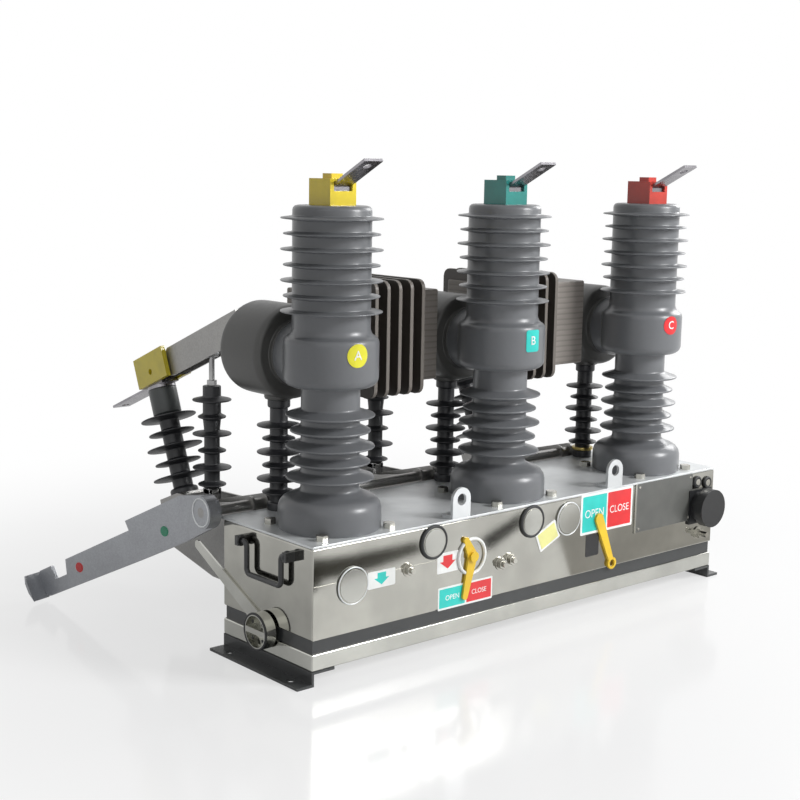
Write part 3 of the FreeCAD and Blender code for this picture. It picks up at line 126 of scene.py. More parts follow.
# %% A socket that takes part in expressions
class Socket:
    """One output of a node, ready for + - * and for use as an input."""

    def __init__(self, graph, output):
        self.graph, self.output = graph, output

    def calculate(self, operation, *values):
        return self.graph.node("ShaderNodeMath", {"operation": operation}, dict(enumerate(values)))

    def __add__(self, other):
        return self.calculate("ADD", self, other)

    def __sub__(self, other):
        return self.calculate("SUBTRACT", self, other)

    def __mul__(self, other):
        return self.calculate("MULTIPLY", self, other)

    def __rsub__(self, other):
        return self.calculate("SUBTRACT", other, self)

    __radd__ = __add__
    __rmul__ = __mul__

    def larger(self, other):
        return self.calculate("MAXIMUM", self, other)

    def between(self, low, high):
        """0 below low, 1 above high, and a soft step between them."""
        settings = {"interpolation_type": "SMOOTHSTEP"}
        return self.graph.node("ShaderNodeMapRange", settings, {"Value": self, 1: low, 2: high})


# %% [markdown]
# The second class holds the node tree, and one method makes any node: settings go
# onto the node, and each socket takes a fixed value or another node's output. The
# textures below it read Object coordinates, metres on the recloser, so that one scale
# suits all pieces.

# %% The node tree of a finish
class Graph:
    """The nodes of one material or of the world."""

    def __init__(self, tree):
        self.tree = tree
        tree.nodes.clear()

    def node(self, kind, settings=None, sockets=None, output=0):
        made = self.tree.nodes.new(kind)
        for name, value in (settings or {}).items():
            setattr(made, name, value)
        for key, value in (sockets or {}).items():
            if isinstance(value, Socket):
                self.tree.links.new(value.output, made.inputs[key])
            else:
                made.inputs[key].default_value = value
        return Socket(self, made.outputs[output]) if made.outputs else None

    def place(self, stretch=(1, 1, 1)):
        """The point on the surface, in metres, with each axis stretched."""
        point = self.node("ShaderNodeTexCoord", output="Object")
        return self.node("ShaderNodeMapping", None, {"Vector": point, "Scale": stretch})

    def noise(self, scale, detail, stretch=(1, 1, 1)):
        return self.node("ShaderNodeTexNoise", None, {
            "Vector": self.place(stretch), "Scale": scale, "Detail": detail, "Roughness": 0.55,
        })

    def cells(self, scale):
        """One random tone for each cell of a broken-up surface."""
        sockets = {"Vector": self.place(), "Scale": scale}
        tint = self.node("ShaderNodeTexVoronoi", None, sockets, "Color")
        return self.node("ShaderNodeSeparateColor", None, {"Color": tint})

    def mix(self, amount, first, second):
        """Blend two colours."""
        sockets = {0: amount, 6: first, 7: second}
        return self.node("ShaderNodeMix", {"data_type": "RGBA"}, sockets, 2)

    def bump(self, height, depth, strength):
        sockets = {"Height": height, "Distance": depth, "Strength": strength}
        return self.node("ShaderNodeBump", None, sockets)

    def show(self, surface, output="Material"):
        self.node(f"ShaderNodeOutput{output}", None, {"Surface": surface})


# %% [markdown]
# A finish starts as an empty graph and ends in one Principled surface. Colours are
# read off swatches as 0 to 255, but shaders count light, so each is converted here.

# %% Start and close a finish
def finish(name):
    """Start a material, ready for the caller's nodes."""
    material = bpy.data.materials.new(name)
    material.use_nodes = True
    return material, Graph(material.node_tree)


def coat(material, graph, **sockets):
    """Close a finish with a Principled surface. Names are given with _ for a space."""
    named = {key.replace("_", " ").title(): value for key, value in sockets.items()}
    graph.show(graph.node("ShaderNodeBsdfPrincipled", None, named))
    return material


def tone(red, green, blue):
    """A colour read off a swatch, 0 to 255, as the linear colour that shaders use."""
    def linear(value):
        value /= 255
        return value / 12.92 if value <= 0.04045 else ((value + 0.055) / 1.055) ** 2.4
    return linear(red), linear(green), linear(blue), 1


def shade(color, factor):
    """The same colour, lighter or darker."""
    return tuple(min(1, part * factor) for part in color[:3]) + (1,)


print("half grey on screen is", round(tone(128, 128, 128)[0], 3), "of white's light")

# %% [markdown]
# ## Cast resin
# The poles and transformers are cast from grey epoxy. Close up it has a satin skin
# with a faint orange peel from the mould, cloudy lighter patches and fine dust. A
# slow noise gives the clouds, a fine one the dust, which also dulls the gloss, and
# the finest one the peel.

# %% Resin finishes
ORANGE_PEEL = 0.04 * MM


def resin(name, color, gloss):
    material, graph = finish(name)
    clouds = graph.noise(9, 4)
    dust = graph.noise(160, 2)
    skin = graph.noise(420, 2)
    mask = clouds * 0.7 + dust * 0.3
    color = graph.mix(mask.between(0.2, 0.8), shade(color, 0.95), shade(color, 1.05))
    return coat(
        material, graph, base_color=color, roughness=gloss + dust * 0.16,
        normal=graph.bump(skin, ORANGE_PEEL, 0.3),
    )


POLE_RESIN = resin("pole_resin", tone(112, 114, 117), 0.24)
ARM_RESIN = resin("arm_resin", tone(82, 82, 80), 0.30)
BLACK_RESIN = resin("black_resin", tone(46, 47, 50), 0.34)
HEAD_RESIN = resin("head_resin", tone(78, 82, 82), 0.32)
FIN_RESIN = resin("fin_resin", tone(58, 53, 48), 0.36)
# A lighter copy of the fin resin: painted highlight for the rims of the fins.
FIN_RIM_HIGHLIGHT = resin("fin_rim_highlight", tone(112, 106, 100), 0.40)
print("resins", [look.name for look in bpy.data.materials])

# %% [markdown]
# The block between the fins is a stack of thin steel sheets cast in taupe resin, so
# it shows faint level bands. A wave up the Z axis draws them, and a little distortion
# keeps them from looking ruled.

# %% The banded block
SHEETS = 34


def banded(name, color):
    material, graph = finish(name)
    settings = {"wave_type": "BANDS", "bands_direction": "Z"}
    sockets = {"Vector": graph.place(), "Scale": SHEETS, "Distortion": 0.6, "Detail": 2}
    wave = graph.node("ShaderNodeTexWave", settings, sockets, "Fac")
    clouds = graph.noise(14, 3, (0.3, 1, 1))
    lines = wave.between(0.05, 0.35)
    color = graph.mix(lines * 0.6 + clouds * 0.4, shade(color, 0.74), shade(color, 1.1))
    return coat(
        material, graph, base_color=color, roughness=0.36 + clouds * 0.14,
        normal=graph.bump(wave, 0.4 * MM, 0.6),
    )


TAUPE_BLOCK = banded("taupe_block", tone(140, 134, 128))
print("nodes in the banded finish", len(TAUPE_BLOCK.node_tree.nodes))

# %% [markdown]
# ## Metals
# The case is polished stainless sheet: nearly a mirror, with slow waves from the
# rolling and fine brush lines along it. The waves go into Bump, where they bend what
# the sheet reflects. Galvanised steel is duller and broken into zinc crystals: one
# random tone for each cell of a Voronoi texture.

# %% Metal finishes
def polished(name, color, gloss=0.045, waves=2.4 * MM, metal=1.0):
    material, graph = finish(name)
    rolling = graph.noise(5.5, 1, (0.6, 1, 1))
    brush = graph.noise(60, 2, (0.6, 60, 60))
    clouds = graph.noise(11, 3)
    color = graph.mix(clouds.between(0.35, 0.7), shade(color, 0.88), shade(color, 1.06))
    return coat(
        material, graph, base_color=color, metallic=metal, roughness=gloss + brush * 0.07,
        normal=graph.bump(rolling + brush * 0.004, waves, 0.5),
    )


def spangled(name, color, gloss, metal, crystals):
    material, graph = finish(name)
    cells = graph.cells(crystals)
    stain = graph.noise(18, 4)
    grain = graph.noise(500, 2)
    mask = cells * 0.3 + stain * 0.7
    color = graph.mix(mask.between(0.2, 0.8), shade(color, 0.9), shade(color, 1.1))
    return coat(
        material, graph, base_color=color, metallic=metal, roughness=gloss + stain * 0.16,
        normal=graph.bump(grain + cells * 0.5, 0.08 * MM, 0.5),
    )


def machined(name, color, gloss=0.22):
    material, graph = finish(name)
    lines = graph.noise(90, 2, (1, 1, 5))
    stain = graph.noise(22, 3)
    color = graph.mix(stain.between(0.3, 0.75), shade(color, 0.8), shade(color, 1.1))
    return coat(
        material, graph, base_color=color, metallic=1.0, roughness=gloss + lines * 0.15,
        normal=graph.bump(lines, 0.04 * MM, 0.3),
    )


STAINLESS = polished("stainless", tone(176, 175, 168))
STAINLESS_TOP = polished("stainless_top", tone(226, 229, 230), 0.36, 0.3 * MM, 0.4)
STAINLESS_LIP = polished("stainless_lip", tone(190, 190, 184), 0.12)
GALVANISED = spangled("galvanised", tone(150, 149, 147), 0.3, 0.75, 420)
LEVER_ZINC = spangled("lever_zinc", tone(158, 160, 164), 0.3, 0.75, 480)
TINNED = machined("tinned_copper", tone(150, 148, 152), 0.20)
STEEL = machined("steel", tone(160, 160, 160))
ZINC_BOLT = machined("zinc_bolt", tone(196, 194, 186), 0.16)
BRASS = machined("brass", tone(196, 176, 110), 0.24)
print("finishes so far", len(bpy.data.materials))

# %% [markdown]
# ## Paint, plastic and print
# The covers over the terminals are moulded plastic in the phase colours, the two
# small levers are painted yellow, and the labels are printed film. They share one
# recipe: a colour with slow clouds, a few worn specks that show the ground, and a
# clear coat where the real one is glossy.

# %% Painted and moulded finishes
def painted(name, color, ground, gloss, wear=0.0, clear=0.0):
    material, graph = finish(name)
    clouds = graph.noise(24, 3)
    speck = graph.noise(260, 3)
    color = graph.mix(clouds.between(0.3, 0.7), shade(color, 0.9), shade(color, 1.06))
    chips = (speck * 0.6 + clouds * 0.4).between(0.72 - wear, 0.76 - wear)
    return coat(
        material, graph, base_color=graph.mix(chips, color, ground), roughness=gloss + speck * 0.12,
        coat_weight=clear, coat_roughness=0.1, normal=graph.bump(speck, 0.06 * MM, 0.5),
    )


YELLOW_COVER = painted("yellow_cover", tone(238, 212, 20), tone(190, 160, 20), 0.25, clear=0.4)
GREEN_COVER = painted("green_cover", tone(20, 140, 132), tone(14, 110, 100), 0.25, clear=0.4)
RED_COVER = painted("red_cover", tone(200, 52, 34), tone(160, 40, 26), 0.25, clear=0.4)
HINGE_YELLOW = painted("hinge_yellow", tone(232, 212, 34), tone(190, 140, 30), 0.28, 0.02, 0.3)
YELLOW_PAINT = painted("yellow_paint", tone(236, 196, 40), tone(150, 122, 50), 0.3, 0.03, 0.2)
DARK_PAINT = painted("dark_paint", tone(52, 54, 55), tone(92, 92, 90), 0.26, 0.08, 0.3)
BLACK_COAT = painted("black_coat", tone(34, 35, 37), tone(70, 70, 70), 0.32, 0.06, 0.2)
# Real rubber, and also painted shade: the dark rings round two ports and the knob's dimples.
RUBBER_AND_SHADE = painted("rubber", tone(40, 41, 42), tone(64, 64, 64), 0.5, 0.02)
BARE_PLATE = painted("bare_plate", tone(92, 93, 90), tone(118, 118, 112), 0.34, 0.05, 0.2)
CERAMIC = painted("ceramic", tone(224, 220, 208), tone(200, 196, 186), 0.2, clear=0.5)
FILM_TEAL = painted("film_teal", tone(10, 206, 196), tone(30, 180, 170), 0.3, clear=0.5)
FILM_RED = painted("film_red", tone(228, 26, 34), tone(190, 30, 30), 0.3, clear=0.5)
FILM_GREEN = painted("film_green", tone(20, 150, 110), tone(20, 120, 90), 0.3, clear=0.5)
FILM_YELLOW = painted("film_yellow", tone(232, 226, 30), tone(200, 190, 30), 0.3, clear=0.5)
FILM_CREAM = painted("film_cream", tone(232, 230, 150), tone(205, 202, 130), 0.35, clear=0.3)
FILM_WHITE = painted("film_white", tone(240, 242, 240), tone(215, 216, 214), 0.35, clear=0.3)
print("finishes", len(bpy.data.materials))

# %% [markdown]
# ## Finishes for the measured parts
# Most folded, drilled and machined parts already have the right shape in the frame,
# so each only gets its finish. A table of name beginnings keeps that to one loop.

# %% Hand the finishes to the frame's nodes
NODE_FINISHES = [
    (STAINLESS, "case_shell", "blanking_covers"),
    (STAINLESS_TOP, "top_plate", "lifting_lugs"),
    (STAINLESS_LIP, "base_tray", "interlock_knob"),
    (DARK_PAINT, "base_frame", "foot_"),
    (BLACK_COAT, "handle_brackets", "carrying_handle", "connector_cap"),
    (YELLOW_PAINT, "charging_lever", "operating_handle"),
    (POLE_RESIN, "pole_housing"),
    (ARM_RESIN, "current_transformer"),
    (FIN_RESIN, "voltage_transformer"),
    (BLACK_RESIN, "post_insulator", "rear_insulator", "pull_rod"),
    (YELLOW_COVER, "terminal_cover_a"),
    (GREEN_COVER, "terminal_cover_b", "hinge_cover_b"),
    (RED_COVER, "terminal_cover_c", "hinge_cover_c"),
    (HINGE_YELLOW, "hinge_cover_a"),
    (TINNED, "terminal_bar", "rear_terminal", "fixed_contact"),
    (GALVANISED, "isolator_"),
    (LEVER_ZINC, "operating_lever"),
    (ZINC_BOLT, "pole_bolts", "earthing_bolts"),
    (STEEL, "breaker_shaft", "drive_rods"),
    (CERAMIC, "vacuum_interrupters"),
]
for name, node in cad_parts.items():
    look = next(look for look, *starts in NODE_FINISHES if name.startswith(tuple(starts)))
    node.data.materials.clear()
    node.data.materials.append(look)
print("nodes dressed", len(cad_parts))

# %% [markdown]
# ## Modelling helpers
# An operator acts on everything that is selected, so each step first selects what it
# means. A new piece has its place, turn and size moved into its mesh: its origin then
# lies where the frame's does, and it follows its body without a jump.

# %% Select, start, join and copy
def deselect():
    bpy.ops.object.select_all(action="DESELECT")


def mode(name):
    """Change between OBJECT and EDIT mode."""
    bpy.ops.object.mode_set(mode=name)


def work_on(*things):
    """Select only these objects, the first as the active one."""
    deselect()
    for thing in things:
        thing.select_set(True)
    bpy.context.view_layer.objects.active = things[0]


def apply_place(thing):
    work_on(thing)
    bpy.ops.object.transform_apply(location=True, rotation=True, scale=True)


def named(thing, name):
    thing.name = thing.data.name = name
    return thing


def started(name):
    """Take up the object that an operator has just added."""
    thing = named(bpy.context.object, name)
    apply_place(thing)
    return thing


def joined(name, *things):
    """Join pieces into one mesh with a new name."""
    work_on(*things)
    bpy.ops.object.join()
    return named(things[0], name)


def copied(thing, name, place, turned_by=(0, 0, 0)):
    """A copy with its own mesh, put in place with the place kept in the mesh."""
    work_on(thing)
    bpy.ops.object.duplicate(linked=False)
    copy = named(bpy.context.object, name)
    copy.location = mm(*place)
    copy.rotation_euler = [math.radians(angle) for angle in turned_by]
    apply_place(copy)
    return copy


def away(thing):
    """Remove a pattern piece once its copies are made."""
    bpy.data.objects.remove(thing)


# %% [markdown]
# An outline is drawn as one would click it in: one vertex, extruded from corner to
# corner. A vertex bevel then rounds each corner by its own amount. The piece is
# closed by merging what lies on one spot and by turning all faces outwards.

# %% Trace, round and close an outline
CLOSE = 1e-6
SHARP = math.radians(35)


def choose(thing, test):
    """In edit mode, select only the points that pass a test."""
    bpy.ops.mesh.select_mode(type="VERT")
    bpy.ops.mesh.select_all(action="DESELECT")
    mode("OBJECT")
    for point in thing.data.vertices:
        point.select = test(point.co)
    mode("EDIT")


def trace(name, points):
    """Draw a line through points: one vertex, extruded again and again."""
    deselect()
    bpy.ops.mesh.primitive_plane_add(size=MM, location=points[0])
    thing = started(name)
    mode("EDIT")
    bpy.ops.mesh.merge(type="CENTER")
    for start, stop in zip(points, points[1:]):
        bpy.ops.mesh.extrude_vertices_move(TRANSFORM_OT_translate={"value": stop - start})
    return thing


def round_corners(thing, points, amounts, steps):
    """Bevel each traced corner by its own amount."""
    for amount in sorted({value for value in amounts if value}):
        spots = [point for point, value in zip(points, amounts) if value == amount]
        choose(thing, lambda place: any((place - spot).length < CLOSE for spot in spots))
        bpy.ops.mesh.bevel(offset=amount * MM, segments=steps, affect="VERTICES")
    bpy.ops.mesh.select_mode(type="VERT")
    bpy.ops.mesh.select_all(action="SELECT")


def filled(name, points, amounts=(), steps=1):
    """A flat face within a traced outline, its corners rounded."""
    thing = trace(name, points)
    bpy.ops.mesh.select_all(action="SELECT")
    bpy.ops.mesh.edge_face_add()
    round_corners(thing, points, amounts, steps)
    return thing


def close_up(thing):
    """Merge doubles, turn the faces outwards and smooth all but the sharp edges."""
    bpy.ops.mesh.select_all(action="SELECT")
    bpy.ops.mesh.remove_doubles(threshold=CLOSE)
    bpy.ops.mesh.normals_make_consistent(inside=False)
    mode("OBJECT")
    smooth(thing)
    return thing


def smooth(thing):
    work_on(thing)
    bpy.ops.object.shade_smooth_by_angle(angle=SHARP)


# %% [markdown]
# No real edge is knife sharp, and the eye reads the thin bright line along it. The
# bevel rounds the edges. It would also tilt the shading of the flat faces beside
# them, so that a mirror looks bulged, and weighted normals put that right.

# %% Round the edges
BEVEL_FROM = math.radians(40)


def bevel(thing, width, steps=2):
    """Round every sharp edge, and keep the flat faces flat."""
    work_on(thing)
    modifier = thing.modifiers.new("bevel", "BEVEL")
    modifier.width, modifier.segments = width * MM, steps
    modifier.limit_method, modifier.angle_limit = "ANGLE", BEVEL_FROM
    bpy.ops.object.modifier_apply(modifier=modifier.name)
    smooth(thing)
    modifier = thing.modifiers.new("flat_faces", "WEIGHTED_NORMAL")
    modifier.keep_sharp = True
    bpy.ops.object.modifier_apply(modifier=modifier.name)
    return thing


# %% [markdown]
# A turned piece is half an outline, spun about Z, as on a lathe. A plate is a filled
# outline, extruded to its thickness, as when a sheet is cut.

# %% Turned pieces and plates
def roundings(outline):
    """The third number of each corner, or none where a corner stays sharp."""
    return [row[2] if len(row) > 2 else 0 for row in outline]


def turn(name, outline, steps):
    """Spin an outline of (radius, level, rounding) about Z."""
    points = [mm(row[0], 0, row[1]) for row in outline]
    thing = trace(name, points)
    round_corners(thing, points, roundings(outline), 3)
    bpy.ops.mesh.spin(steps=steps, angle=2 * math.pi, center=(0, 0, 0), axis=(0, 0, 1))
    return close_up(thing)


def on_plane(normal, level):
    """A function that puts (a, b) on a main plane, with the axes in the order X, Y, Z."""
    return {
        "X": lambda a, b: mm(level, a, b),
        "Y": lambda a, b: mm(a, level, b),
        "Z": lambda a, b: mm(a, b, level),
    }[normal]


def rectangle(left, low, right, high, corner):
    """The outline of a rectangle with round corners."""
    return [(a, b, corner) for a, b in ((left, low), (right, low), (right, high), (left, high))]


def plate(name, outline, normal, low, high, edge=0.4):
    """Fill an outline of (a, b, rounding) and extrude it from low to high."""
    put = on_plane(normal, low)
    points = [put(row[0], row[1]) for row in outline]
    thing = filled(name, points, roundings(outline), 4)
    step = on_plane(normal, high - low)(0, 0)
    bpy.ops.mesh.extrude_region_move(TRANSFORM_OT_translate={"value": step})
    close_up(thing)
    return bevel(thing, edge) if edge else thing


# %% [markdown]
# Blocks, round bars and wire rings start from Blender's own primitives. They are set
# to their size at once, and the bevel turns them from plain shapes into parts.

# %% Blocks, drums and rings
def block(name, low, high, edge, steps=2):
    """A box between two corners with rounded edges."""
    low, high = mm(*low), mm(*high)
    deselect()
    bpy.ops.mesh.primitive_cube_add(size=1, location=(low + high) / 2, scale=high - low)
    return bevel(started(name), edge, steps)


AXIS_TURN = {"X": (0, math.pi / 2, 0), "Y": (math.pi / 2, 0, 0), "Z": (0, 0, 0)}


def drum(name, centre, axis, radius, low, high, edge=0.6, sides=40):
    """A round bar along a main axis. The centre gives the other two coordinates."""
    middle = on_plane(axis, (low + high) / 2)(*centre)
    deselect()
    bpy.ops.mesh.primitive_cylinder_add(
        vertices=sides, radius=radius * MM, depth=(high - low) * MM,
        location=middle, rotation=AXIS_TURN[axis],
    )
    thing = started(name)
    return bevel(thing, edge) if edge else thing


def ring(name, centre, axis, radius, thickness, level, sides=48):
    """A round wire ring, such as a seal or a hub's bead."""
    deselect()
    bpy.ops.mesh.primitive_torus_add(
        major_radius=radius * MM, minor_radius=thickness * MM,
        major_segments=sides, minor_segments=12,
        location=on_plane(axis, level)(*centre), rotation=AXIS_TURN[axis],
    )
    thing = started(name)
    smooth(thing)
    return thing


# %% [markdown]
# Every finished piece is handed to the frame: it rides with a body, takes a material
# slot, and may stand for the measured nodes that it covers, which are then hidden.

# %% Hand a piece to the frame
def done(thing, look, body="chassis", stands_for=()):
    """Give a piece its finish, its body and the nodes that it stands for."""
    if look is not None:
        thing.data.materials.clear()
        thing.data.materials.append(look)
    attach(thing, body)
    if stands_for:
        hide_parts(*stands_for)
    print(f"{thing.name}: {len(thing.data.polygons)} faces, moves with {body}")


def each_phase(pattern, name, place, look, node, body="chassis", turned_by=(0, 0, 0)):
    """Copy a pattern to all phases. A {} in the body's name takes the phase letter."""
    for letter, across in PHASES.items():
        piece = copied(pattern, f"{name}_{letter}", (across, *place), turned_by)
        done(piece, look, body.format(letter), [f"{node}_{letter}"])
    away(pattern)


# %% [markdown]
# ## The poles
# Each pole is one casting: a bell foot with a soft shoulder, five thick sheds below
# the waist, the waist with its small lip, and seven thin discs above it. All of that
# is one turned outline. A shed is four corners: its root below, two at the rim, and
# its root above, each rounded a little, as resin never fills a sharp corner.

# %% Outlines of sheds
def shed(core, radius, level, rim, root, fillet):
    """One shed of a turned outline, with a rounded rim and filleted roots."""
    return [
        (core, level - fillet, fillet), (radius, level + 0.3, rim * 0.45),
        (radius, level + 0.3 + rim, rim * 0.45), (core, level + root, fillet),
    ]


def sheds(core, radii, low, high, rim, root, fillet=2.0):
    """A row of sheds at an even pitch, the first at low and the last at high."""
    pitch = (high - low) / (len(radii) - 1)
    corners = []
    for count, radius in enumerate(radii):
        corners += shed(core, radius, low + count * pitch, rim, root, fillet)
    return corners


# %% [markdown]
# The same two helpers draw every insulator. Here they make the pole. The flange on its
# back is a drum that sinks into the casting and takes the current transformer.

# %% Turn the poles
pole_outline = [
    (0, 200), (74.6, 200, 1), (75.3, 214, 8), (74.4, 242, 13), (50, 250, 9), (42.4, 256, 3),
    *sheds(42.4, [64, 58, 64, 58, 64], 271.6, 361.6, 2.6, 10, 3.0),
    (42.4, 404.5, 2.5), (61, 405, 6), (68.4, 414, 4), (68.5, 468, 3),
    (66.4, 474.5, 3), (59, 478, 4), (56, 486, 2),
    *sheds(56, [72.6, 68.8] * 3 + [72.6], 509.6, 639.8, 2.0, 4.6, 1.6),
    (56, CAP_TOP, 7), (0, CAP_TOP),
]
pole_pattern = turn("pole_pattern", pole_outline, 72)
flange_pattern = drum("flange_pattern", (0, ARM_LEVEL), "Y", 50, 20, 73.4, 2)
pole_pattern = joined("pole_pattern", pole_pattern, flange_pattern)
each_phase(pole_pattern, "pole", (POLE_BACK, 0), POLE_RESIN, "pole_housing")

# %% [markdown]
# ## Current transformers
# Behind each pole hangs a drum-shaped current transformer with a well rounded back
# edge, a collar towards the pole and round flats where the ribbed blocks join. It is
# turned about Z like the pole and then tipped backwards, and a drum adds each flat.
# The outer two have a flat on their inner side alone.

# %% The three drums behind the poles
drum_outline = [
    (0, 48), (50, 48, 1), (50, 56, 1.5), (66, 56, 4), (70, 64, 5), (70, 146, 3), (69, 154, 8),
    (50, 172, 12), (0, 172),
]
drum_pattern = turn("drum_pattern", drum_outline, 72)
SIDES = {"a": (1,), "b": (-1, 1), "c": (-1,)}
for letter, across in PHASES.items():
    piece = copied(drum_pattern, f"transformer_{letter}", (across, 0, ARM_LEVEL), (-90, 0, 0))
    foot = drum("foot", (across, POST_BACK), "Z", 22, POST_TOP, ARM_LEVEL, 3)
    flats = []
    for side in SIDES[letter]:
        ends = sorted((across, across + side * DRUM_REACH))
        flats.append(drum("flat", (112, ARM_LEVEL + 12), "X", 32, *ends, 1.5))
    piece = joined(f"transformer_{letter}", piece, foot, *flats)
    done(piece, ARM_RESIN, stands_for=[f"current_transformer_{letter}"])
away(drum_pattern)

# %% [markdown]
# ## Ribbed blocks
# Between the transformers sit two blocks with dark cast fins. A fin is one plate
# with round corners. Its rim is painted lighter, a painted highlight for the light
# that its edges catch, so the faces of the rim get a finish of their own, picked by
# the way that they face.

# %% Fins and blocks
FINS, FIN_PITCH = 5, 23.3
fin_pattern = plate("fin_pattern", rectangle(22, 366, 197, 544, 14), "X", 0, 7, 1.0)
fin_pattern.data.materials.append(FIN_RESIN)
fin_pattern.data.materials.append(FIN_RIM_HIGHLIGHT)
# Faces across the fin keep the dark resin, and every rim face gets the painted highlight.
for face in fin_pattern.data.polygons:
    face.material_index = 0 if abs(face.normal.x) > 0.9 else 1
for pair, last in (("ab", -138.0), ("bc", 159.6)):
    start = last - (FINS - 1) * FIN_PITCH
    fins = [copied(fin_pattern, "fin", (start + n * FIN_PITCH, 0, 0)) for n in range(FINS)]
    piece = joined(f"fins_{pair}", *fins)
    done(piece, None, stands_for=[f"voltage_transformer_{pair}"])
    low, high = PHASES[pair[0]] + DRUM_REACH, PHASES[pair[1]] - DRUM_REACH
    core = block(f"block_{pair}", (low, 42, 384), (high, 182, 526), 3, 3)
    done(core, TAUPE_BLOCK, stands_for=[f"voltage_transformer_{pair}"])
away(fin_pattern)

# %% [markdown]
# ## Insulators
# A slim post of near-black resin carries each transformer. It is turned like the
# poles, with a short collar at each end. One of the three has a brass ring at its
# foot in the photograph, so it gets one here.

# %% Posts under the transformers
post_outline = [
    (0, 0), (17, 0, 1), (17, 12, 2), (13.5, 13, 0.5),
    *sheds(13.5, [25, 33] * 3, 26, 128, 2.2, 6.5),
    (13.5, 156, 0.5), (17, 157, 2), (17, 169, 1), (0, 169),
]
post_pattern = turn("post_pattern", post_outline, 48)
post_place = (POST_BACK, CASE_TOP)
each_phase(post_pattern, "post", post_place, BLACK_RESIN, "post_insulator")
collar_foot = CASE_TOP + 13.5
collar = drum("brass_collar_c", (PHASES["c"], POST_BACK), "Z", 19, collar_foot, collar_foot + 5, 1)
done(collar, BRASS)

# %% [markdown]
# The hinge of each isolator stands on an insulator that leans back. It is turned
# upright at the origin and tipped afterwards, so that its sheds stay square to its
# axis. Its plain head is cast from a paler resin and is therefore a piece of its own.

# %% Leaning insulators under the hinges
INSULATOR_FOOT = leaned(12, -208)
rear_outline = [
    (0, 0), (23, 0, 1), (23, 10, 3), (16.5, 12, 1),
    *sheds(16.5, [46, 38, 46, 38, 46], 28, 128, 2.4, 6.5),
    (16.5, 135), (0, 135),
]
head_outline = [
    (0, 134.6), (21, 134.6, 1), (23.5, 137, 1.5), (23.5, 172, 1), (23.5, 180, 2), (0, 180),
]
rear_pattern = turn("rear_pattern", rear_outline, 48)
head_pattern = turn("head_pattern", head_outline, 48)
for pattern, name, look in (
    (rear_pattern, "rear_sheds", BLACK_RESIN), (head_pattern, "rear_head", HEAD_RESIN),
):
    each_phase(
        pattern, name, INSULATOR_FOOT, look, "rear_insulator",
        turned_by=(-LEAN, 0, 0),
    )

# %% [markdown]
# A pull rod is a resin bar with six sheds. Its irons are a fork with a pin below and
# a flat eye on a threaded shank above, with a nut that locks it.

# %% Pull rods with their irons
ROD_BACK, ROD_BOTTOM, ROD_LENGTH = 279, 165, 256
rod_outline = [
    (0, 34), (12.5, 34, 1.5),
    *sheds(12.5, [22.5, 31, 22.5, 31], 40, 122.2, 2.2, 6.5),
    *sheds(14.5, [22.5, 31], 149.6, 177, 2.2, 6.5),
    (14.5, 201, 1.5), (0, 201),
]
rod_pattern = turn("rod_pattern", rod_outline, 48)
shank = drum("shank", (0, 0), "Z", 4.5, 200, 250, 0)
nut = drum("nut", (0, 0), "Z", 8, 201, 210, 0.8, 6)
eye = drum("eye", (0, ROD_LENGTH), "X", 10, -9.6, 9.6, 1)
tine_outline = [(-9, 34), (-9, -4, 4), (-4, -9, 4), (4, -9, 4), (9, -4, 4), (9, 34)]
tines = [plate("tine", tine_outline, "X", low, low + 5, 0.6) for low in (-11.4, 6.4)]
yoke = block("yoke", (-11.4, -9, 26), (11.4, 9, 36), 1)
pin = drum("pin", (0, 0), "X", 5, -13, 13, 0.6)
iron_pattern = joined("iron_pattern", shank, nut, eye, yoke, pin, *tines)
for pattern, name, look, slot in (
    (rod_pattern, "rod_sheds", BLACK_RESIN, "black_resin"),
    (iron_pattern, "rod_irons", STEEL, "steel"),
):
    each_phase(pattern, name, (ROD_BACK, ROD_BOTTOM), look, "pull_rod", "rod_{}")

# %% [markdown]
# ## The case walls
# The walls are folded sheet, so their edges are soft. A box over the measured shell
# with rounded edges catches the thin bright line that a fold shows in polished
# metal, and so do the roof and the tray.

# %% Folded walls, roof and tray
WALL_LOW, WALL_TOP, ROOF_BACK = 66, 196, 116
CASE_PIECES = [
    ("case_walls", WALL_LOW, WALL_TOP, CASE_BACK, 2.2, 3, STAINLESS, "case_shell"),
    ("case_roof", WALL_TOP, CASE_TOP, ROOF_BACK, 1.2, 2, STAINLESS_TOP, "top_plate"),
    ("case_tray", 22, 46, CASE_BACK, 2, 3, STAINLESS_LIP, "base_tray"),
]
for name, low, high, back, edge, steps, look, node in CASE_PIECES:
    piece = block(name, (-CASE_HALF, CASE_FRONT, low), (CASE_HALF, back, high), edge, steps)
    done(piece, look, stands_for=[node])

# %% [markdown]
# ## Folded and screwed details of the front
# The lower left of the front wall is a service panel: one thin sheet laid over the
# wall, whose edge catches a bright line. The four round ports close with discs, two
# of them in a thick black ring and two in thin bright rims. The black ring is painted
# shade for the shadow round those discs, made as a torus in the rubber finish.

# %% Service panel and port seals
panel = block("service_panel", (-444, -108.5, 66.5), (-216, -107.6, 143), 0.25)
done(panel, STAINLESS)
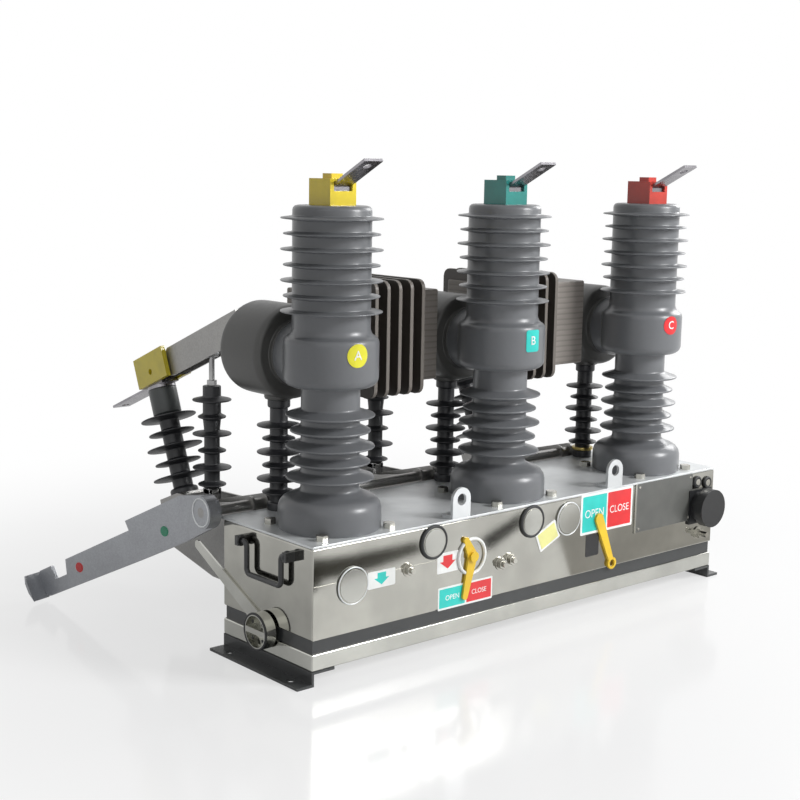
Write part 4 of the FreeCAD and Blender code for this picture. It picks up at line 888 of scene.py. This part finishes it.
# Each port: across, level, radius and kind. The kind seal marks a port with a dark ring of painted
# shade.
PORTS = [
    (-375, 134, 26, "rim"), (-222.5, 172, 22, "seal"), (-16, 172, 22, "seal"), (67, 164, 26, "rim"),
]
for number, (across, level, radius, kind) in enumerate(PORTS):
    if kind == "seal":
        # A black torus round the disc: painted shade for the shadow that falls round it.
        edge = ring(f"port_shade_ring_{number}", (across, level), "Y", radius + 1.6, 2.6, -109.4)
        done(edge, RUBBER_AND_SHADE)
    else:
        edge = ring(f"port_rim_{number}", (across, level), "Y", radius + 0.4, 1.1, -110.4)
        done(edge, STAINLESS_TOP)
    face = drum(f"port_face_{number}", (across, level), "Y", radius - 2.2, -111.8, -110.6, 0.5, 48)
    done(face, STAINLESS_LIP)

# %% [markdown]
# Bolts are modelled once: a washer, a six-sided head and the rounded end of the
# screw. A cylinder with six sides is already a hexagon, and its bevel gives the
# turned chamfer. Copies then go wherever the wall is bolted. The plug on the right
# has two round studs, each on its own rubber ring.

# %% Bolts and plug studs
washer = drum("washer", (0, 0), "Y", 10.5, -2, 0, 0.4, 40)
head = drum("head", (0, 0), "Y", 8.6, -8.4, -2, 0.9, 6)
screw_end = drum("screw_end", (0, 0), "Y", 4.6, -13, -8.4, 1.2, 24)
bolt_pattern = joined("bolt_pattern", washer, head, screw_end)
for number, (across, level) in enumerate([(-271, 139), (-83, 116), (-62, 119)]):
    bolt = copied(bolt_pattern, f"wall_bolt_{number}", (across, CASE_FRONT, level))
    done(bolt, ZINC_BOLT)
for number, (across, level) in enumerate([(396, 180), (424, 176)]):
    cushion = ring(f"plug_seal_{number}", (across, level), "Y", 8, 2.8, -109.6)
    done(cushion, RUBBER_AND_SHADE)
    stud = drum(f"plug_stud_{number}", (across, level), "Y", 6, -112.5, -108, 1, 24)
    done(stud, ZINC_BOLT)
away(bolt_pattern)

# %% [markdown]
# ## Labels
# The printed labels are film on the steel. Each is a thin plate with small round
# corners, and each other colour stands one step farther out, so that no two faces lie
# in one plane. Words are typed as a Text object, which holds curves, and are turned
# into a mesh before they are placed. They only say what the lever does.

# %% Films and words
FILM = 0.1


def film(name, left, low, right, high, look, step=1, corner=2):
    """A thin label on the front wall. The step counts films out from the wall."""
    outline = rectangle(left, low, right, high, corner)
    sheet = plate(name, outline, "Y", CASE_FRONT - FILM * step, CASE_FRONT + 0.2, 0)
    done(sheet, look)


def words(name, text, height, across, level, face, stretch=1.0):
    """Type words, turn them into a mesh, stand them up and set them on a face."""
    deselect()
    bpy.ops.object.text_add(location=(0, 0, 0))
    typed = bpy.context.object
    typed.data.body = text
    typed.data.align_x, typed.data.align_y = "CENTER", "CENTER"
    typed.data.size = height * MM
    typed.data.extrude = FILM / 2 * MM
    bpy.ops.object.convert(target="MESH")
    named(typed, name)
    typed.scale = (stretch, 1, 1)
    typed.rotation_euler = (math.pi / 2, 0, 0)
    typed.location = mm(across, face, level)
    apply_place(typed)
    return typed


def arrow(name, across, level, size, look, step=2):
    """A fat arrow that points down."""
    shape = [(-14, 1), (-8, 1), (-8, 9), (8, 9), (8, 1), (14, 1), (0, -9)]
    outline = [(across + a * size, level + b * size, 0.6) for a, b in shape]
    sheet = plate(name, outline, "Y", CASE_FRONT - FILM * step, CASE_FRONT, 0)
    done(sheet, look)


# %% [markdown]
# The arrow on the left sits on the service panel, which is thicker than a film, so
# its steps start higher. The two lever labels are a white film with a teal and a red
# field, and OPEN and CLOSE are set into them in white.

# %% Print the labels
film("label_reset", -347, 122, -296, 147, FILM_WHITE, 7)
arrow("arrow_reset", -321.5, 135, 1.0, FILM_TEAL, 8)
film("label_charge", -214, 121, -171, 152, FILM_WHITE)
arrow("arrow_charge", -193, 137, 1.15, FILM_RED)
film("label_small", -211, 64, -99, 99, FILM_WHITE)
film("label_small_teal", -208.5, 67, -156, 96, FILM_TEAL, 2, 1)
film("label_small_red", -153, 67, -101.5, 96, FILM_RED, 2, 1)
film("label_large", 98, 130, 225, 197, FILM_WHITE)
film("label_large_teal", 102, 134, 160, 193, FILM_TEAL, 2, 1.5)
film("label_large_red", 163, 134, 221, 193, FILM_RED, 2, 1.5)
WORD_FACE = CASE_FRONT - 2.2 * FILM
for name, text, height, across, level, stretch in (
    ("words_open", "OPEN", 19, 131, 163, 0.95), ("words_close", "CLOSE", 17, 192, 163, 0.95),
    ("words_open_small", "OPEN", 11, -182, 81, 1),
    ("words_close_small", "CLOSE", 10.5, -127, 81, 1),
):
    typed = words(name, text, height, across, level, WORD_FACE, stretch)
    done(typed, FILM_WHITE)

# %% [markdown]
# One small label was stuck on at a slant. Its outline is drawn square at the origin
# and the finished plate is turned, which is easier than slanting each corner.

# %% The slanted label
NOTE_PLACE, NOTE_TURN = (21, CASE_FRONT, 143), (0, -24, 0)
note = rectangle(-24, -16, 24, 16, 1.5)
inner = [(a * 0.84, b * 0.8, 1) for a, b, _ in note]
for name, outline, depth, look in (
    ("note", note, 1.0, FILM_WHITE), ("note_print", inner, 1.4, FILM_CREAM),
):
    pattern = plate(f"{name}_pattern", outline, "Y", -depth, 0.2, 0.1)
    sheet = copied(pattern, name, NOTE_PLACE, NOTE_TURN)
    away(pattern)
    done(sheet, look)

# %% [markdown]
# A dark plate is riveted to the wall beside the plug, and it is left bare. Behind the
# operating handle lies a dark guide, and a white ring marks the charging lever's hub.

# %% The dark plate, its rivets and the lever marks
back_plate = plate("dark_plate", rectangle(234, 114, 383, 197, 2), "Y", -109.6, -107.8, 0.3)
done(back_plate, BARE_PLATE)
edge_strip = block("dark_plate_edge", (231, -110, 113), (235, -107.8, 197.5), 0.5)
done(edge_strip, STAINLESS_LIP)
corners = [(across, level) for level in (120, 191) for across in (241, 376)]
for number, (across, level) in enumerate(corners):
    rivet = drum(f"rivet_{number}", (across, level), "Y", 2.4, -111, -109, 0.9, 20)
    done(rivet, ZINC_BOLT)
guide = plate("lever_guide", rectangle(112, 92, 144, 129, 3), "Y", -108.2, -107.8, 0)
done(guide, BLACK_COAT)
hub_ring = ring("charging_ring", (-145, 138), "Y", 27, 2.6, -109.5, 56)
done(hub_ring, FILM_WHITE)

# %% [markdown]
# ## Phase marks on the waists
# The phase marks are films that follow the round waist. A flat piece is cut into
# strips, so that it can bend. A Shrinkwrap modifier presses it onto the former, a
# plain cylinder of the waist's radius, and Solidify gives it a thickness.

# %% Press flat pieces onto a former
WAIST, FLAT_FACE = 68.5, -90
former = drum("former", (0, 0), "Z", WAIST, 380, 520, 0, 180)


def pressed(thing, offset, thickness):
    """Wrap a flat piece onto the former and give it a thickness."""
    work_on(thing)
    wrap = thing.modifiers.new("wrap", "SHRINKWRAP")
    wrap.target, wrap.wrap_method = former, "PROJECT"
    wrap.use_project_y, wrap.use_positive_direction = True, True
    wrap.offset = offset * MM
    bpy.ops.object.modifier_apply(modifier=wrap.name)
    solid = thing.modifiers.new("solid", "SOLIDIFY")
    solid.thickness, solid.offset = thickness * MM, 0
    bpy.ops.object.modifier_apply(modifier=solid.name)
    mode("EDIT")
    close_up(thing)


def cut_into_strips(thing, pitch, half):
    """Cut a flat piece by upright planes, so that it can bend."""
    work_on(thing)
    mode("EDIT")
    count = int(half / pitch)
    for number in range(-count, count + 1):
        bpy.ops.mesh.select_all(action="SELECT")
        bpy.ops.mesh.bisect(plane_co=mm(number * pitch, 0, 0), plane_no=(1, 0, 0))
    mode("OBJECT")


# %% [markdown]
# Each mark is a yellow, teal or red field with its letter pressed on a bit farther
# out. Both are made in front of the former and turned round the pole afterwards, to
# the side that the photograph shows.

# %% The three phase marks
def mark(letter, outline, level, angle, look):
    """A coloured mark with its letter, turned to its side of the pole."""
    points = [mm(a, FLAT_FACE, level + b) for a, b, _ in outline]
    base = filled(f"mark_{letter}", points, roundings(outline), 10)
    mode("OBJECT")
    cut_into_strips(base, 2.5, 18)
    pressed(base, 0.35, 0.5)
    text = words(f"letter_{letter}", letter.upper(), 19, 0, level, FLAT_FACE)
    cut_into_strips(text, 2, 12)
    pressed(text, 0.9, 0.3)
    for thing, thing_look in ((base, look), (text, FILM_WHITE)):
        thing.rotation_euler = (0, 0, math.radians(angle + 90))
        thing.location = mm(PHASES[letter], POLE_BACK, 0)
        apply_place(thing)
        done(thing, thing_look)


def round_mark(radius):
    """A square whose corners are rounded until it is a disc."""
    return rectangle(-radius, -radius, radius, radius, radius * 0.98)


mark("a", round_mark(16.6), 455, -95.3, FILM_YELLOW)
mark("b", rectangle(-13.5, -17, 13.5, 17, 4), 453, -89.9, FILM_TEAL)
mark("c", round_mark(15.5), 457, -94.6, FILM_RED)
away(former)

# %% [markdown]
# ## Small parts of the lever end
# The lever carries two round marks, green for closed and red for open, each in a
# white ring, and a bright ring where its hub meets the shaft. They ride with the
# lever's body, so they move when it does. A mark is two flat drums in one mesh, and
# the faces outside the inner one get the white finish.

# %% Marks and ring on the lever
SPLAY, DOT, HALO = 16.5, 6, 8.4
for name, look, place in (
    ("green", FILM_GREEN, (-468.1, 234.6, 155.5)), ("red", FILM_RED, (-520, 409.6, 67.6)),
):
    dot = drum("dot", (0, 0), "X", DOT, -0.9, 0.3, 0.2, 36)
    halo = drum("halo", (0, 0), "X", HALO, -0.45, 0.3, 0.1, 36)
    pattern = joined("dot", dot, halo)
    spot = copied(pattern, f"lever_mark_{name}", place, (0, 0, SPLAY))
    away(pattern)
    spot.data.materials.clear()
    spot.data.materials.append(look)
    spot.data.materials.append(FILM_WHITE)
    for face in spot.data.polygons:
        outside = (face.center - mm(*place)).length > (DOT + 0.2) * MM
        face.material_index = 1 if outside else 0
    done(spot, None, "isolator_gear")
hub = ring("hub_ring", (130, 205.5), "X", 21, 1.3, -470.6, 56)
done(hub, STAINLESS_TOP, "isolator_gear")

# %% [markdown]
# The drop handle hangs in two eyes. The interlock knob has a rubber seal round its
# rim, a grip bar across it and four dimples, whose shade is painted as dark discs
# on its face. Handle and knob are bodies of their own, and these small pieces ride
# with them.

# %% Handle eyes and the knob's face
HANDLE_MIDDLE, HANDLE_REACH = -6, 55
KNOB_BACK, KNOB_LEVEL, DIMPLE = -2, 57, 12
for number, side in enumerate((-1, 1)):
    back = HANDLE_MIDDLE + side * HANDLE_REACH
    eye = ring(f"handle_eye_{number}", (-454, 178.5), "Y", 6.4, 2.2, back, 32)
    done(eye, BLACK_COAT, "handle")
seal = ring("knob_seal", (KNOB_BACK, KNOB_LEVEL), "X", 26, 1.8, -465.5, 56)
done(seal, RUBBER_AND_SHADE, "latch")
grip = block("knob_grip", (-465.8, -21, 53.5), (-460.5, 17, 60.5), 1.2)
done(grip, STAINLESS_LIP, "latch")
spots = [(KNOB_BACK + a, KNOB_LEVEL + b) for b in (DIMPLE, -DIMPLE) for a in (-DIMPLE, DIMPLE)]
# Painted shade: a dark disc stands for the hollow of each dimple.
for number, spot in enumerate(spots):
    dimple = drum(f"knob_dimple_shade_{number}", spot, "X", 2.6, -461.9, -461, 0.3, 20)
    done(dimple, RUBBER_AND_SHADE, "latch")

# %% [markdown]
# ## The stage
# The photograph has a white ground with a weak mirror image. The floor is mixed from
# a real surface, which takes the shadow and a faint reflection, and from plain white
# light. The white part grows with the distance, so that the floor has no horizon, as
# in a studio with a curved backdrop. The mirror image is sharp for the camera alone,
# since a glossy floor would throw bright spots onto the case.

# %% The floor
FADE_START, FADE_END = 0.4, 1.6
deselect()
bpy.ops.mesh.primitive_plane_add(size=60, location=(0, 0, 0))
floor = started("floor")
material, graph = finish("floor_white")
distance = graph.node("ShaderNodeVectorMath", {"operation": "LENGTH"}, {0: graph.place()}, 1)
fade = distance.between(FADE_START, FADE_END)
camera_ray = graph.node("ShaderNodeLightPath", output="Is Camera Ray")
glossy_ray = graph.node("ShaderNodeLightPath", output="Is Glossy Ray")
grain = graph.noise(3, 2)
surface = graph.node("ShaderNodeBsdfPrincipled", None, {
    "Base Color": graph.mix(grain, (0.9, 0.91, 0.92, 1), (0.94, 0.94, 0.94, 1)),
    "Roughness": 0.5 - camera_ray * 0.38 + grain * 0.01,
})
white = graph.node("ShaderNodeEmission", None, {"Color": (1, 1, 1, 1), "Strength": 1.0})
whitened = camera_ray * (0.6 + fade * 0.4) + glossy_ray * (0.28 + fade * 0.6)
graph.show(graph.node("ShaderNodeMixShader", None, {0: whitened, 1: surface, 2: white}))
floor.data.materials.append(material)
floor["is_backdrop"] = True
print("floor", [round(side) for side in floor.dimensions[:2]], "m")

# %% [markdown]
# The world is white where the camera, a reflection or glass meets it, and much weaker
# as a light. The background is then pure white, and the lamps can model the shapes.

# %% The world
world = bpy.data.worlds.new("studio")
bpy.context.scene.world = world
world.use_nodes = True
graph = Graph(world.node_tree)
camera_ray, glossy_ray, through_ray = [
    graph.node("ShaderNodeLightPath", output=f"Is {ray} Ray")
    for ray in ("Camera", "Glossy", "Transmission")
]
shown = camera_ray.larger(glossy_ray).larger(through_ray)
backdrop, dim = [
    graph.node("ShaderNodeBackground", None, {"Color": (1, 1, 1, 1), "Strength": strength})
    for strength in (1.0, 0.18)
]
mixed = graph.node("ShaderNodeMixShader", None, {0: shown, 1: dim, 2: backdrop})
graph.show(mixed, "World")
print("world nodes", len(world.node_tree.nodes))

# %% [markdown]
# Three square soft boxes light the recloser. The key stands to the front right and
# puts the highlight right of the middle of each pole. The fill opens the shadows on
# the left, and the rim light from the right draws the edges of the sheds.

# %% The lamps
def lamp(name, place, target, size, power):
    """A square soft box that looks at a point."""
    light = bpy.data.lights.new(name, "AREA")
    light.size, light.energy = size, power
    box = bpy.data.objects.new(name, light)
    bpy.context.scene.collection.objects.link(box)
    box.location = place
    sight = Vector(target) - Vector(place)
    box.rotation_euler = sight.to_track_quat("-Z", "Y").to_euler()
    print(name, "stands", round(sight.length, 2), "m away")


lamp("key", (1.5, -2.3, 1.8), (0, 0, 0.35), 1.0, 88)
lamp("fill", (-2.6, -1.4, 2.0), (0, 0, 0.35), 2.0, 5)
lamp("rim", (2.7, 0.4, 1.6), (0, 0, 0.4), 1.2, 30)

# %% [markdown]
# Polished steel shows what stands around it. In the photograph dark shapes lie on the
# ground before the case, and they give its front the dark bands. Flat cards do the
# same here. Only reflections see them, and only from above, so that they don't show
# in the floor. Each outline was found by following the camera's rays off the front.

# %% Cards for the case's front to reflect
def card(name, outline, color):
    """A sheet near the floor that only reflections see."""
    sheet = filled(name, [mm(a, b, 2) for a, b in outline])
    mode("OBJECT")
    if sheet.data.polygons[0].normal.z < 0:
        sheet.data.flip_normals()
    material, graph = finish(name)
    clouded = graph.mix(graph.noise(4, 2), shade(color, 0.8), shade(color, 1.2))
    matt = graph.node("ShaderNodeBsdfDiffuse", None, {"Color": clouded})
    clear = graph.node("ShaderNodeBsdfTransparent")
    below = graph.node("ShaderNodeNewGeometry", output="Backfacing")
    graph.show(graph.node("ShaderNodeMixShader", None, {0: below, 1: matt, 2: clear}))
    sheet.data.materials.append(material)
    sheet.visible_camera = sheet.visible_diffuse = sheet.visible_shadow = False
    sheet.visible_transmission = sheet.visible_volume_scatter = False
    sheet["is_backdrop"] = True
    print(name, "of", len(outline), "corners")


card("dark_card_left", [
    (-370, -451), (-181, -451), (-107, -507), (-48, -507), (13, -514),
    (145, -541), (200, -602), (37, -610), (-39, -636), (-248, -640),
], tone(70, 69, 62))
slant = [(300, -545), (238, -466), (470, -580), (545, -668)]
card("dark_card_slant", slant, tone(38, 37, 33))
right = [(229, -240), (900, -240), (1500, -640), (560, -600)]
card("grey_card_right", right, tone(190, 188, 184))

# %% [markdown]
# ## The size at the end
# The box of the dressed recloser is measured, and how much it grew over the box of
# the measured part is printed, to show whether the dressing made it larger. The
# dressing must not make the recloser larger.

# %% Write the sizes and finish
low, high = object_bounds()
print("grown by", [round(v, 6) for v in (high - low) - (cad_high - cad_low)], "m")
